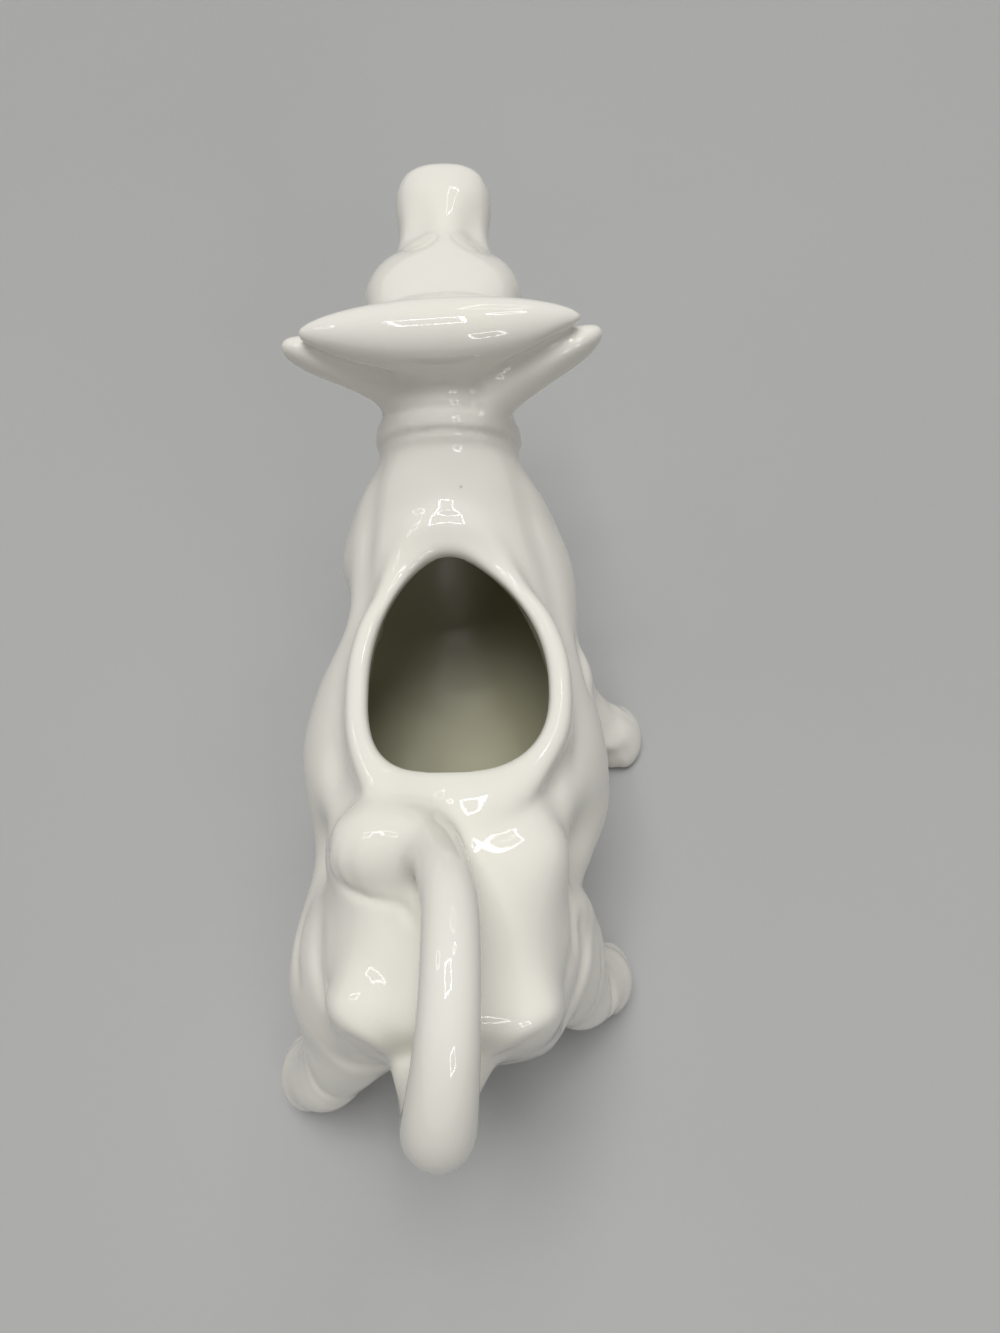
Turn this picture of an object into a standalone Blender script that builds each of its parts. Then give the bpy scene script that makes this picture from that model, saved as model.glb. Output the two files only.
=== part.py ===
"""Cow creamer: a slip-cast white porcelain jug in the shape of a standing cow.

The hollow barrel with its filler opening, the hollow head with its pouring mouth, the collar,
the horns, the ears, the four legs and the tail that serves as the handle are shaped apart and
luted together before firing. Lengths are metres, +Z is up, the cow faces +Y and its right side
is +X. The origin is on the floor, under the middle of the bounding box.
"""

import math

import bmesh
import bpy
import numpy as np
from mathutils import Vector

MM = 0.001

# Trunk and neck
TRUNK_LENGTH = 100 * MM       # from the rump to the root of the neck
BACK_HEIGHT = 75 * MM         # floor to the level back
TRUNK_WIDTH = 60 * MM         # across the belly
WALL = 3.2 * MM               # thickness of the cast wall
JOINT_GAP = 0.35 * MM         # film of slip in each luted joint

# Head
HEAD_LENGTH = 64 * MM         # neck seam to muzzle
HEAD_DEPTH = 26 * MM          # brow to jaw
HEAD_WIDTH = 27.8 * MM        # across the brow
HEAD_TURN = math.radians(0.8) # the head looks a little to the cow's left
MOUTH_WIDTH = 11 * MM         # across the pouring hole
MOUTH_HEIGHT = 6.6 * MM

# Filler opening in the back
OPENING_LENGTH = 39.5 * MM
OPENING_WIDTH = 30.4 * MM
OPENING_SETBACK = 42.5 * MM   # from the rump to its flat rear edge
OPENING_SKEW = 1.8 * MM       # it bulges this much to the right
RIM_RADIUS = 2.3 * MM         # the rolled lip round it
RIM_RISE = 2.2 * MM           # the lip stands this much above the back
SKIRT_DEPTH = 9 * MM          # how far the lip's section reaches down into the wall

# Collar over the neck seam
COLLAR_WIDTH = 7.2 * MM
COLLAR_RISE = 1.7 * MM

# Horns, one spindle across the poll
HORN_SETBACK = 8.9 * MM       # from the neck seam to their middle line
HORN_SPAN = 49.6 * MM
HORN_RADIUS = 6.1 * MM
HORN_SKEW = math.radians(2.8) # the right horn and ear are a little ahead of the left
HORN_LIFT = 1 * MM            # the tips stand this much above the middle
HORN_SWEEP = 1.4 * MM         # and this much ahead of it

# Ears
EAR_REACH = 28.8 * MM         # mid-plane to the tip
EAR_SETBACK = 7 * MM          # from the neck seam to the middle of the right ear's root
EAR_LEAD = 3.4 * MM           # the left ear's root is this much further ahead
EAR_SWEEP = 4.4 * MM          # an ear's tip is this much ahead of its root
EAR_WIDTH = 10.6 * MM
EAR_THICKNESS = 6.2 * MM

# Legs
LEG_HEIGHT = 48 * MM          # floor to the top of a leg, inside the trunk
HOOF_WIDTH = 12.6 * MM
HOOF_LENGTH = 17.5 * MM

# Tail handle and its tuft
TAIL_RADIUS = 4.3 * MM
TAIL_RISE = 21 * MM           # top of its arch above the back
TAIL_OVERHANG = 16.5 * MM     # how far it reaches behind the rump
TUFT_WIDTH = 13.4 * MM

OVERRUN = 3 * MM              # how far a cut runs past what it cuts
WELD = 0.01 * MM              # points closer than this are one point

# One row is one ring round the trunk: the point on the back (along, up), the point on the
# belly (along, up), half the width, how high the widest place is, and how square the upper
# and lower halves are. Along is a share of TRUNK_LENGTH from the rump, up a share of
# BACK_HEIGHT, the width a share of half of TRUNK_WIDTH. The last row is the neck seam.
TRUNK_SHARES = (
    (-0.004, 0.840, -0.014, 0.600, 0.28, 0.50, 2.2, 2.0),
    (0.014, 0.945, -0.012, 0.500, 0.46, 0.46, 2.3, 2.1),
    (0.052, 0.990, 0.006, 0.430, 0.57, 0.44, 2.4, 2.2),
    (0.130, 1.015, 0.080, 0.400, 0.65, 0.42, 2.4, 2.2),
    (0.250, 1.020, 0.220, 0.390, 0.72, 0.42, 2.4, 2.3),
    (0.340, 1.015, 0.340, 0.385, 0.82, 0.43, 2.3, 2.3),
    (0.440, 1.005, 0.440, 0.375, 0.93, 0.46, 2.1, 2.2),
    (0.550, 1.000, 0.550, 0.365, 0.99, 0.46, 2.0, 2.2),
    (0.670, 1.005, 0.670, 0.365, 0.92, 0.46, 2.0, 2.2),
    (0.770, 1.030, 0.790, 0.380, 0.79, 0.46, 2.1, 2.2),
    (0.840, 1.068, 0.905, 0.415, 0.73, 0.47, 2.1, 2.1),
    (0.900, 1.100, 1.010, 0.480, 0.71, 0.48, 2.0, 2.0),
    (0.950, 1.144, 1.095, 0.580, 0.640, 0.48, 2.0, 2.0),
    (0.990, 1.190, 1.150, 0.710, 0.490, 0.50, 2.0, 2.0),
    (1.025, 1.230, 1.180, 0.830, 0.42, 0.50, 2.0, 2.0),
)

# The rings of the head go on from the seam in the same order. Along is a share of HEAD_LENGTH
# and up a share of HEAD_DEPTH, both from the top of the seam, and the width is a share of half
# of HEAD_WIDTH.
HEAD_SHARES = (
    (0.060, 0.180, 0.300, -0.830, 0.91, 0.50, 2.0, 2.0),
    (0.140, 0.410, 0.370, -0.640, 0.94, 0.52, 2.2, 2.0),
    (0.270, 0.480, 0.440, -0.540, 1.00, 0.56, 2.4, 2.0),
    (0.410, 0.420, 0.520, -0.520, 1.04, 0.58, 2.5, 2.1),
    (0.535, 0.345, 0.600, -0.500, 0.97, 0.54, 2.3, 2.2),
    (0.640, 0.275, 0.680, -0.470, 0.72, 0.48, 2.1, 2.3),
    (0.750, 0.245, 0.770, -0.440, 0.65, 0.48, 2.2, 2.3),
    (0.860, 0.245, 0.860, -0.420, 0.70, 0.50, 2.4, 2.3),
    (0.945, 0.225, 0.940, -0.390, 0.71, 0.50, 2.4, 2.3),
    (0.990, 0.150, 0.980, -0.310, 0.62, 0.50, 2.3, 2.2),
    (1.000, 0.020, 0.990, -0.190, 0.34, 0.50, 2.2, 2.0),
)

# Swellings and hollows of the trunk: across, along and up to the centre, spread and height, as
# shares of half of TRUNK_WIDTH, TRUNK_LENGTH, BACK_HEIGHT and, for the last two, of half of
# TRUNK_WIDTH. The cow walks, so the two sides differ.
TRUNK_RELIEF_SHARES = (
    (0.80, 0.890, 0.740, 0.42, 0.12),    # right shoulder
    (-0.70, 0.950, 0.740, 0.32, 0.06),   # left shoulder
    (-0.86, 0.810, 0.740, 0.24, -0.22),  # dip behind the left shoulder
    (1.00, 0.430, 0.560, 0.32, 0.09),    # right side of the belly
    (-1.00, 0.470, 0.560, 0.34, -0.05),  # left side of the belly
    (0.70, 0.170, 0.560, 0.46, 0.15),    # right haunch
    (-0.84, 0.160, 0.580, 0.52, 0.34),   # left haunch
    (-0.86, 0.050, 0.500, 0.34, 0.27),   # side of the left thigh
    (-0.50, -0.010, 0.560, 0.36, 0.12),  # back of the left thigh
    (-0.05, -0.020, 0.780, 0.28, 0.20),  # dock, where the tail leaves the rump
    (0.60, 0.290, 0.960, 0.26, 0.11),    # right hook bone
    (-0.62, 0.300, 0.950, 0.26, 0.10),   # left hook bone
    (0.46, 0.040, 0.880, 0.22, 0.13),    # right pin bone
    (-0.50, 0.050, 0.890, 0.22, 0.14),   # left pin bone
    (0.24, 0.110, 1.010, 0.24, -0.04),   # hollow of the rump right of the tail
    (-0.32, 0.110, 1.010, 0.22, -0.04),  # hollow of the rump left of the tail
    (0.86, 0.330, 0.780, 0.24, -0.16),   # hollow of the right flank
    (-0.86, 0.330, 0.790, 0.24, -0.15),  # hollow of the left flank
)

# The same for the head, as shares of half of HEAD_WIDTH, HEAD_LENGTH, HEAD_DEPTH and, for the
# last two, of half of HEAD_WIDTH, from the top of the seam. Each stands on both sides.
HEAD_RELIEF_SHARES = (
    (0.48, 0.650, 0.180, 0.28, -0.12),   # hollow beside the bridge of the nose
    (0.90, 0.440, 0.000, 0.24, 0.08),    # eye
    (0.62, 0.560, -0.300, 0.50, 0.14),   # cheek
)

# One row is one level ring of a leg: how high, how far it has come from foot to hip, how far
# it bends forward, half the width and half the length. Up and forward are shares of
# LEG_HEIGHT, and the last two are shares of half of HOOF_WIDTH and of HOOF_LENGTH.
FRONT_LEG_SHARES = (
    (0.000, 0.00, 0.000, 0.90, 0.86),
    (0.020, 0.00, 0.000, 0.99, 0.96),
    (0.090, 0.01, 0.000, 1.00, 0.94),
    (0.170, 0.08, -0.010, 0.90, 0.74),
    (0.230, 0.20, -0.020, 0.92, 0.72),
    (0.300, 0.34, -0.010, 0.82, 0.60),
    (0.420, 0.54, 0.010, 0.84, 0.62),
    (0.520, 0.68, 0.030, 1.02, 0.78),
    (0.640, 0.80, 0.010, 1.10, 0.88),
    (0.800, 0.92, 0.000, 1.22, 1.04),
    (1.000, 1.00, 0.000, 1.24, 1.12),
)
REAR_LEG_SHARES = (
    (0.000, 0.00, 0.000, 0.90, 0.86),
    (0.020, 0.00, 0.000, 0.99, 0.96),
    (0.090, 0.01, 0.000, 1.00, 0.94),
    (0.170, 0.05, -0.020, 0.90, 0.74),
    (0.230, 0.12, -0.030, 0.92, 0.72),
    (0.310, 0.22, -0.050, 0.84, 0.64),
    (0.420, 0.34, -0.080, 0.92, 0.74),
    (0.520, 0.46, -0.080, 1.10, 0.96),
    (0.640, 0.62, -0.030, 1.32, 1.24),
    (0.800, 0.80, 0.040, 1.56, 1.56),
    (1.000, 1.00, 0.060, 1.50, 1.60),
)

# Each leg: its rings, where its sole stands (across, along) and where it enters the trunk
# (across, along). Across is a share of half of TRUNK_WIDTH, along a share of TRUNK_LENGTH from
# the rump. The cow walks: the right foreleg is back and the left hind leg trails.
LEG_SHARES = (
    ("leg_front_right", FRONT_LEG_SHARES, 1.287, 0.768, 0.600, 0.820),
    ("leg_front_left", FRONT_LEG_SHARES, -0.933, 0.940, -0.533, 0.890),
    ("leg_rear_right", REAR_LEG_SHARES, 1.057, 0.185, 0.500, 0.170),
    ("leg_rear_left", REAR_LEG_SHARES, -1.093, 0.004, -0.520, 0.090),
)
CLEFT_SHARE = 0.13            # depth of the cleft in a hoof, of the hoof's radius
CLEFT_TOP_SHARE = 0.16        # how high the cleft runs, of LEG_HEIGHT
CLEFT_WIDTH_SHARE = 0.22      # half its width, as an angle round the hoof in radians

# The tail's middle line from the tuft over the arch to its root: across as a share of
# TAIL_RADIUS, along as a share of the way from its rearmost place to the tuft, up as a share of
# BACK_HEIGHT plus a share of the arch's rise, and its thickness as a share of TAIL_RADIUS.
TAIL_SHARES = (
    (-0.88, 1.000, 0.987, 0.00, 1.05),
    (-0.28, 0.882, 1.000, 0.36, 1.00),
    (0.23, 0.693, 1.000, 0.79, 1.00),
    (0.33, 0.458, 1.000, 1.00, 1.00),
    (0.19, 0.198, 1.000, 0.85, 1.08),
    (-0.12, 0.000, 1.000, 0.34, 1.25),
    (-0.30, 0.000, 0.943, 0.00, 1.34),
    (-0.44, 0.118, 0.823, 0.00, 1.55),
    (-0.30, 0.330, 0.750, 0.00, 2.60),
)
TAIL_BEND_SHARE = 1.43        # its middle line stays this many radii inside the rearmost point
TUFT_PLACE_SHARE = 0.320      # how far the tuft lies from the rump, of TRUNK_LENGTH

# The tuft's middle line from its left end: across and up from the back as shares of
# TUFT_WIDTH, along as a share of it from the end of the tail, and its radius as a share of it.
TUFT_SHARES = (
    (-1.390, -0.060, -0.190, 0.12),
    (-1.300, -0.070, -0.180, 0.36),
    (-0.940, -0.090, -0.150, 0.54),
    (-0.522, -0.100, -0.100, 0.53),
    (-0.149, -0.119, 0.000, 0.42),
)

# The filler opening: its widest place from the rear edge as a share of OPENING_LENGTH, how
# much it draws in to the front, and how square its rear is (1 is round).
OPENING_WIDEST_SHARE = 0.404
OPENING_POINT_SHARE = 0.06
OPENING_SQUARE_SHARE = 0.72
OPENING_FLOOR_SHARE = 0.72    # how far down its cut reaches, of BACK_HEIGHT
OPENING_BRINK_SHARE = 1.02    # above this height its front is rounded into the neck

# The pouring mouth: how far below the top of the seam and how far behind the muzzle's end the
# hole in it begins, as shares of HEAD_DEPTH and HEAD_LENGTH.
MOUTH_DROP_SHARE = 0.13
MOUTH_DEPTH_SHARE = 0.09

# Horns and ears: how far their places are above the top of the seam, of HEAD_DEPTH, how much a
# horn thins to its tip, and how an ear's root stands and is cupped.
HORN_UP_SHARE = 0.44
HORN_TAPER_SHARE = 0.80
EAR_ROOT_ACROSS_SHARE = 0.30  # of HEAD_WIDTH
EAR_ROOT_UP_SHARE = -0.02
EAR_TIP_UP_SHARE = 0.30
EAR_LEAN_SHARES = (0, 0.78, 0.62)
EAR_CUP_SHARE = 0.35          # depth of the cup, of EAR_THICKNESS

# The lip runs out this much further at the flat rear edge, where it meets the rump, as a
# share of its width.
RIM_RUNOUT_SHARE = 1.1

# Steps along the lofts, and around them
TRUNK_STEPS = 3
HEAD_STEPS = 2
LIP_STEPS = 40
LIP_TURN_STEPS = 5
LEG_STEPS = 2
HORN_STEPS = 20
EAR_STEPS = 8
EAR_AROUND_STEPS = 16
TAIL_STEPS = 24
TUFT_STEPS = 9
TRUNK_AROUND_STEPS = 40
HEAD_AROUND_STEPS = 28
CAVITY_AROUND_STEPS = 28
LEG_AROUND_STEPS = 18


def spline_row(rows, place):
    """A row of the table at any place between its rows, on a Catmull-Rom spline."""
    last = len(rows) - 1
    start = min(max(int(math.floor(place)), 0), last - 1)
    t = place - start
    before = rows[max(start - 1, 0)]
    after = rows[min(start + 2, last)]
    here = rows[start]
    there = rows[start + 1]
    slope_here = (there - before) / 2
    slope_there = (after - here) / 2
    return ((2 * t**3 - 3 * t**2 + 1) * here + (t**3 - 2 * t**2 + t) * slope_here
            + (3 * t**2 - 2 * t**3) * there + (t**3 - t**2) * slope_there)


def middle_of_stance():
    """How far the plane of symmetry lies off the middle of the box, because of the stance."""
    soles = [row[2] for row in LEG_SHARES]
    return -(max(soles) + min(soles)) / 2 * TRUNK_WIDTH / 2


# The origin is under the middle of the whole cow, from the tail's rear to the muzzle.
WHOLE_LENGTH = TAIL_OVERHANG + TRUNK_SHARES[-1][0] * TRUNK_LENGTH + HEAD_LENGTH
RUMP_Y = TAIL_OVERHANG - WHOLE_LENGTH / 2
MIDPLANE_X = middle_of_stance()
OPENING_REAR_Y = RUMP_Y + OPENING_SETBACK


def cow_rows():
    """All rings of the trunk and the head in metres, rump first."""
    rows = []
    for back_y, back_z, belly_y, belly_z, half, widest, upper, lower in TRUNK_SHARES:
        rows.append((RUMP_Y + back_y * TRUNK_LENGTH, back_z * BACK_HEIGHT,
                     RUMP_Y + belly_y * TRUNK_LENGTH, belly_z * BACK_HEIGHT,
                     half * TRUNK_WIDTH / 2, widest, upper, lower))
    seam_y, seam_z = rows[-1][:2]
    for back_y, back_z, belly_y, belly_z, half, widest, upper, lower in HEAD_SHARES:
        rows.append((seam_y + back_y * HEAD_LENGTH, seam_z + back_z * HEAD_DEPTH,
                     seam_y + belly_y * HEAD_LENGTH, seam_z + belly_z * HEAD_DEPTH,
                     half * HEAD_WIDTH / 2, widest, upper, lower))
    return np.array(rows)


ROWS = cow_rows()
SEAM = len(TRUNK_SHARES) - 1
SEAM_TOP = Vector((0, ROWS[SEAM][0], ROWS[SEAM][1]))
MUZZLE = len(ROWS) - 1


def relief_spots():
    """Centre, spread and height of every swelling, in metres, on both sides."""
    spots = []
    half = TRUNK_WIDTH / 2
    for across, along, up, spread, height in TRUNK_RELIEF_SHARES:
        centre = Vector((across * half, RUMP_Y + along * TRUNK_LENGTH, up * BACK_HEIGHT))
        spots.append((centre, spread * half, height * half))
    half = HEAD_WIDTH / 2
    for across, along, up, spread, height in HEAD_RELIEF_SHARES:
        for side in (across, -across):
            centre = SEAM_TOP + Vector((side * half, along * HEAD_LENGTH, up * HEAD_DEPTH))
            spots.append((centre, spread * half, height * half))
    return spots


SPOTS = relief_spots()


def swelling(point):
    """How far the skin stands out at a point because of the swellings and hollows."""
    total = 0
    for centre, spread, height in SPOTS:
        total += height * math.exp(-((point - centre).length / spread) ** 2)
    return total


def turned(point):
    """The point after the head's turn to the left, which grows from the seam to the poll."""
    reach = min(max((point.y - SEAM_TOP.y) / (HEAD_LENGTH / 3), 0), 1)
    angle = HEAD_TURN * reach * reach * (3 - 2 * reach)
    arm = point.y - SEAM_TOP.y
    return Vector((point.x * math.cos(angle) - arm * math.sin(angle),
                   SEAM_TOP.y + arm * math.cos(angle) + point.x * math.sin(angle), point.z))


def skin_point(place, angle, inset=0, shrink=1):
    """A point of the cow's skin: which ring, and where round it, set in by the inset."""
    back_y, back_z, belly_y, belly_z, half, widest, upper, lower = spline_row(ROWS, place)
    back = Vector((0, back_y, back_z))
    belly = Vector((0, belly_y, belly_z))
    upright = (back - belly).normalized()
    height = (back - belly).length
    middle = belly + upright * height * widest
    across = math.cos(angle)
    rise = math.sin(angle)
    power = 2 / (upper if rise > 0 else lower)
    room = height * (1 - widest) if rise > 0 else height * widest
    offset = Vector((math.copysign(abs(across) ** power, across) * half, 0, 0))
    offset += upright * math.copysign(abs(rise) ** power, rise) * room
    skin = middle + offset
    skin += offset.normalized() * (swelling(skin) - inset)
    return turned(middle + (skin - middle) * shrink)


def round_angles(corners):
    """Angles of the corners of a ring, starting half a step off the level."""
    return [2 * math.pi * (corner + 0.5) / corners for corner in range(corners)]


def cow_ring(place, corners, inset=0, shrink=1):
    """One ring of the trunk or head, set in from the skin by the inset."""
    return [skin_point(place, angle, inset, shrink) for angle in round_angles(corners)]


def ring_normal(place):
    """The direction in which the rings follow each other, square to one ring."""
    back_y, back_z, belly_y, belly_z = spline_row(ROWS, place)[:4]
    upright = Vector((0, back_y - belly_y, back_z - belly_z)).normalized()
    return Vector((0, upright.z, -upright.y))


def give_porcelain(thing):
    """A glossy white glaze of the piece's own."""
    material = bpy.data.materials.new(thing.name)
    material.use_nodes = True
    shader = material.node_tree.nodes["Principled BSDF"]
    shader.inputs["Base Color"].default_value = PORCELAIN
    shader.inputs["Roughness"].default_value = 0.08
    shader.inputs["Metallic"].default_value = 0
    shader.inputs["Coat Weight"].default_value = 1
    thing.data.materials.append(material)


def make_object(name, mesh, collection, colour=None):
    """A new object with a mesh, hung on the mid-plane empty."""
    thing = bpy.data.objects.new(name, mesh)
    collection.objects.link(thing)
    thing.parent = MIDPLANE
    if colour:
        give_porcelain(thing)
    return thing


def loft(name, rings, collection, colour=None, smooth=True):
    """A closed skin over rings with equal numbers of points, capped at both ends."""
    bm = bmesh.new()
    rows = [[bm.verts.new(point) for point in ring] for ring in rings]
    count = len(rows[0])
    for low, high in zip(rows, rows[1:]):
        for k in range(count):
            bm.faces.new((low[k], low[(k + 1) % count], high[(k + 1) % count], high[k]))
    bm.faces.new(rows[0])
    bm.faces.new(rows[-1])
    bmesh.ops.recalc_face_normals(bm, faces=bm.faces)
    mesh = bpy.data.meshes.new(name)
    bm.to_mesh(mesh)
    bm.free()
    if smooth:
        mesh.shade_smooth()
    return make_object(name, mesh, collection, colour)


def add_boolean(thing, cutter, operation="DIFFERENCE"):
    """A live Boolean on a piece."""
    modifier = thing.modifiers.new(operation.lower(), "BOOLEAN")
    modifier.operation = operation
    modifier.object = cutter
    modifier.solver = "EXACT"


def as_guide(thing):
    """Mark an object as a cutter or guide."""
    thing.hide_render = True
    thing.display_type = "WIRE"
    return thing


def grown_copy(thing, name):
    """A copy of a form that stands out from it by the joint gap, to cut what sits on it."""
    grown = thing.copy()
    grown.name = name
    CUTTERS.objects.link(grown)
    swell = grown.modifiers.new("film of slip", "DISPLACE")
    swell.strength = JOINT_GAP
    swell.mid_level = 0
    return as_guide(grown)


def steps(first, last, count):
    """Evenly spaced places from first to last."""
    return [first + (last - first) * k / count for k in range(count + 1)]


for old in list(bpy.data.objects):
    bpy.data.objects.remove(old, do_unlink=True)
PARTS = bpy.data.collections.new("cow_creamer")
CUTTERS = bpy.data.collections.new("cutters")
bpy.context.scene.collection.children.link(PARTS)
bpy.context.scene.collection.children.link(CUTTERS)
MIDPLANE = bpy.data.objects.new("midplane", None)
MIDPLANE.location = (MIDPLANE_X, 0, 0)
PARTS.objects.link(MIDPLANE)

PORCELAIN = (0.83, 0.82, 0.78, 1)


def opening_outline(count, spread=0, runout=0, lead=0):
    """The egg-shaped outline of the filler, blunt at the rear and pointed to the head."""
    rear_reach = OPENING_LENGTH * OPENING_WIDEST_SHARE
    widest_y = OPENING_REAR_Y + rear_reach
    points = []
    for k in range(count):
        angle = 2 * math.pi * k / count
        forward = math.sin(angle)
        across = math.cos(angle)
        if forward > 0:
            reach = OPENING_LENGTH - rear_reach + spread + lead
            x = across * (1 - OPENING_POINT_SHARE * forward * forward)
        else:
            reach = rear_reach + spread * (1 + runout * forward * forward)
            x = math.copysign(abs(across) ** OPENING_SQUARE_SHARE, across)
            forward = -abs(forward) ** OPENING_SQUARE_SHARE
        points.append((x * (OPENING_WIDTH / 2 + spread) + OPENING_SKEW * across * across,
                       widest_y + forward * reach))
    return points


def build_trunk_form():
    """The outside of the trunk and neck as one closed form, with the rolled lip on it."""
    places = steps(0, SEAM, SEAM * TRUNK_STEPS)
    form = loft("trunk_form", [cow_ring(p, TRUNK_AROUND_STEPS) for p in places], CUTTERS)
    lip = loft_lip()
    add_boolean(form, lip, "UNION")
    return as_guide(form)


def loft_lip():
    """The rolled lip: a rounded section swept along the outline of the opening."""
    inner = opening_outline(LIP_STEPS, -OVERRUN)
    edge = opening_outline(LIP_STEPS)
    outer = opening_outline(LIP_STEPS, 2 * RIM_RADIUS, RIM_RUNOUT_SHARE)
    skirt = opening_outline(LIP_STEPS, 2.3 * RIM_RADIUS, RIM_RUNOUT_SHARE)
    top = BACK_HEIGHT + RIM_RISE
    sections = []
    for k in range(LIP_STEPS):
        section = [Vector((*inner[k], top - SKIRT_DEPTH)), Vector((*inner[k], top - RIM_RADIUS))]
        for turn in range(LIP_TURN_STEPS + 1):
            share = turn / LIP_TURN_STEPS
            swing = math.pi * share
            x = edge[k][0] + (outer[k][0] - edge[k][0]) * (1 - math.cos(swing)) / 2
            y = edge[k][1] + (outer[k][1] - edge[k][1]) * (1 - math.cos(swing)) / 2
            section.append(Vector((x, y, top - RIM_RADIUS * (1 - math.sin(swing)))))
        section.append(Vector((*skirt[k], top - SKIRT_DEPTH)))
        sections.append(section)
    return as_guide(loft_round("lip_form", sections, CUTTERS))


def loft_round(name, sections, collection, colour=None):
    """A closed ring-shaped skin: sections follow each other and the last meets the first."""
    bm = bmesh.new()
    rows = [[bm.verts.new(point) for point in section] for section in sections]
    count = len(rows[0])
    for index, low in enumerate(rows):
        high = rows[(index + 1) % len(rows)]
        for k in range(count):
            bm.faces.new((low[k], low[(k + 1) % count], high[(k + 1) % count], high[k]))
    bmesh.ops.recalc_face_normals(bm, faces=bm.faces)
    mesh = bpy.data.meshes.new(name)
    bm.to_mesh(mesh)
    bm.free()
    mesh.shade_smooth()
    return make_object(name, mesh, collection, colour)


def build_cavity():
    """The hollow of the trunk and neck, one wall inside the skin, run on past the seam."""
    rings = [cow_ring(1.5, CAVITY_AROUND_STEPS, WALL, 0.45),
             cow_ring(1.7, CAVITY_AROUND_STEPS, WALL, 0.82)]
    for place in steps(2, SEAM + 0.5, 2 * SEAM - 3):
        rings.append(cow_ring(place, CAVITY_AROUND_STEPS, WALL))
    return as_guide(loft("trunk_cavity", rings, CUTTERS))


def build_opening():
    """The plug that cuts the filler opening through the back, its front rounded over."""
    brink = BACK_HEIGHT * OPENING_BRINK_SHARE
    radius = 2 * RIM_RADIUS
    levels = [(BACK_HEIGHT * OPENING_FLOOR_SHARE, 0)]
    for turn in steps(0, math.pi / 2, LIP_TURN_STEPS):
        levels.append((brink + radius * math.sin(turn), radius * (1 - math.cos(turn))))
    levels.append((brink + radius + OVERRUN, radius))
    rings = []
    for height, lead in levels:
        outline = opening_outline(LIP_STEPS, lead=lead)
        rings.append([Vector((x, y, height)) for x, y in outline])
    return as_guide(loft("opening_plug", rings, CUTTERS, smooth=False))


def build_head_form():
    """The outside of the head, from the seam to the muzzle."""
    film = ring_normal(SEAM) * JOINT_GAP
    rings = [[point + film for point in cow_ring(SEAM, HEAD_AROUND_STEPS)]]
    for place in steps(SEAM, MUZZLE, (MUZZLE - SEAM) * HEAD_STEPS)[1:]:
        rings.append(cow_ring(place, HEAD_AROUND_STEPS))
    return rings


def build_channel():
    """The channel through the head, from the neck to the pouring mouth."""
    rings = []
    for place in steps(SEAM - 0.5, MUZZLE - 3.5, 15):
        rings.append(cow_ring(place, CAVITY_AROUND_STEPS, WALL))
    tip = ROWS[MUZZLE]
    mouth_z = SEAM_TOP.z - MOUTH_DROP_SHARE * HEAD_DEPTH
    for step_y in (tip[0] - MOUTH_DEPTH_SHARE * HEAD_LENGTH, tip[0] + OVERRUN):
        ring = []
        for angle in round_angles(CAVITY_AROUND_STEPS):
            ring.append(turned(Vector((math.cos(angle) * MOUTH_WIDTH / 2, step_y,
                                       mouth_z + math.sin(angle) * MOUTH_HEIGHT / 2))))
        rings.append(ring)
    return as_guide(loft("head_channel", rings, CUTTERS))


def build_collar():
    """A rounded band that covers the neck seam, its inside a film of slip off the skin."""
    sections = []
    for angle in round_angles(TRUNK_AROUND_STEPS):
        pace = (skin_point(SEAM + 0.1, angle) - skin_point(SEAM - 0.1, angle)).length / 0.2
        half = COLLAR_WIDTH / 2 / pace
        section = []
        for side in (-1, -0.5, 0, 0.5, 1):
            section.append(skin_point(SEAM + side * half, angle, -JOINT_GAP))
        for side in (1, 0.8, 0.45, 0, -0.45, -0.8, -1):
            rise = JOINT_GAP + COLLAR_RISE * (0.3 + 0.7 * math.sqrt(1 - side * side))
            section.append(skin_point(SEAM + side * half, angle, -rise))
        sections.append(section)
    return loft_round("collar", sections, PARTS, PORCELAIN)


def tube(name, points, radii, collection, colour=None, resolution=3):
    """A solid of round sections along a path, made from a bevelled curve."""
    curve = bpy.data.curves.new(name, "CURVE")
    curve.dimensions = "3D"
    curve.bevel_depth = 1
    curve.bevel_resolution = resolution
    curve.use_fill_caps = True
    spline = curve.splines.new("POLY")
    spline.points.add(len(points) - 1)
    for entry, point, radius in zip(spline.points, points, radii):
        entry.co = (*point, 1)
        entry.radius = radius
    curve.twist_mode = "MINIMUM"
    guide = bpy.data.objects.new(name + "_path", curve)
    CUTTERS.objects.link(guide)
    bpy.context.view_layer.update()
    shape = guide.evaluated_get(bpy.context.evaluated_depsgraph_get())
    mesh = bpy.data.meshes.new_from_object(shape)
    bpy.data.objects.remove(guide, do_unlink=True)
    bm = bmesh.new()
    bm.from_mesh(mesh)
    bmesh.ops.remove_doubles(bm, verts=bm.verts, dist=WELD)
    bmesh.ops.recalc_face_normals(bm, faces=bm.faces)
    bm.to_mesh(mesh)
    bm.free()
    mesh.name = name
    mesh.shade_smooth()
    return make_object(name, mesh, collection, colour)


def spline_path(rows, count):
    """Points and radii along a Catmull-Rom spline through rows of x, y, z and radius."""
    table = np.array(rows)
    line = [spline_row(table, place) for place in steps(0, len(rows) - 1, count)]
    return [Vector(row[:3]) for row in line], [row[3] for row in line]


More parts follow.
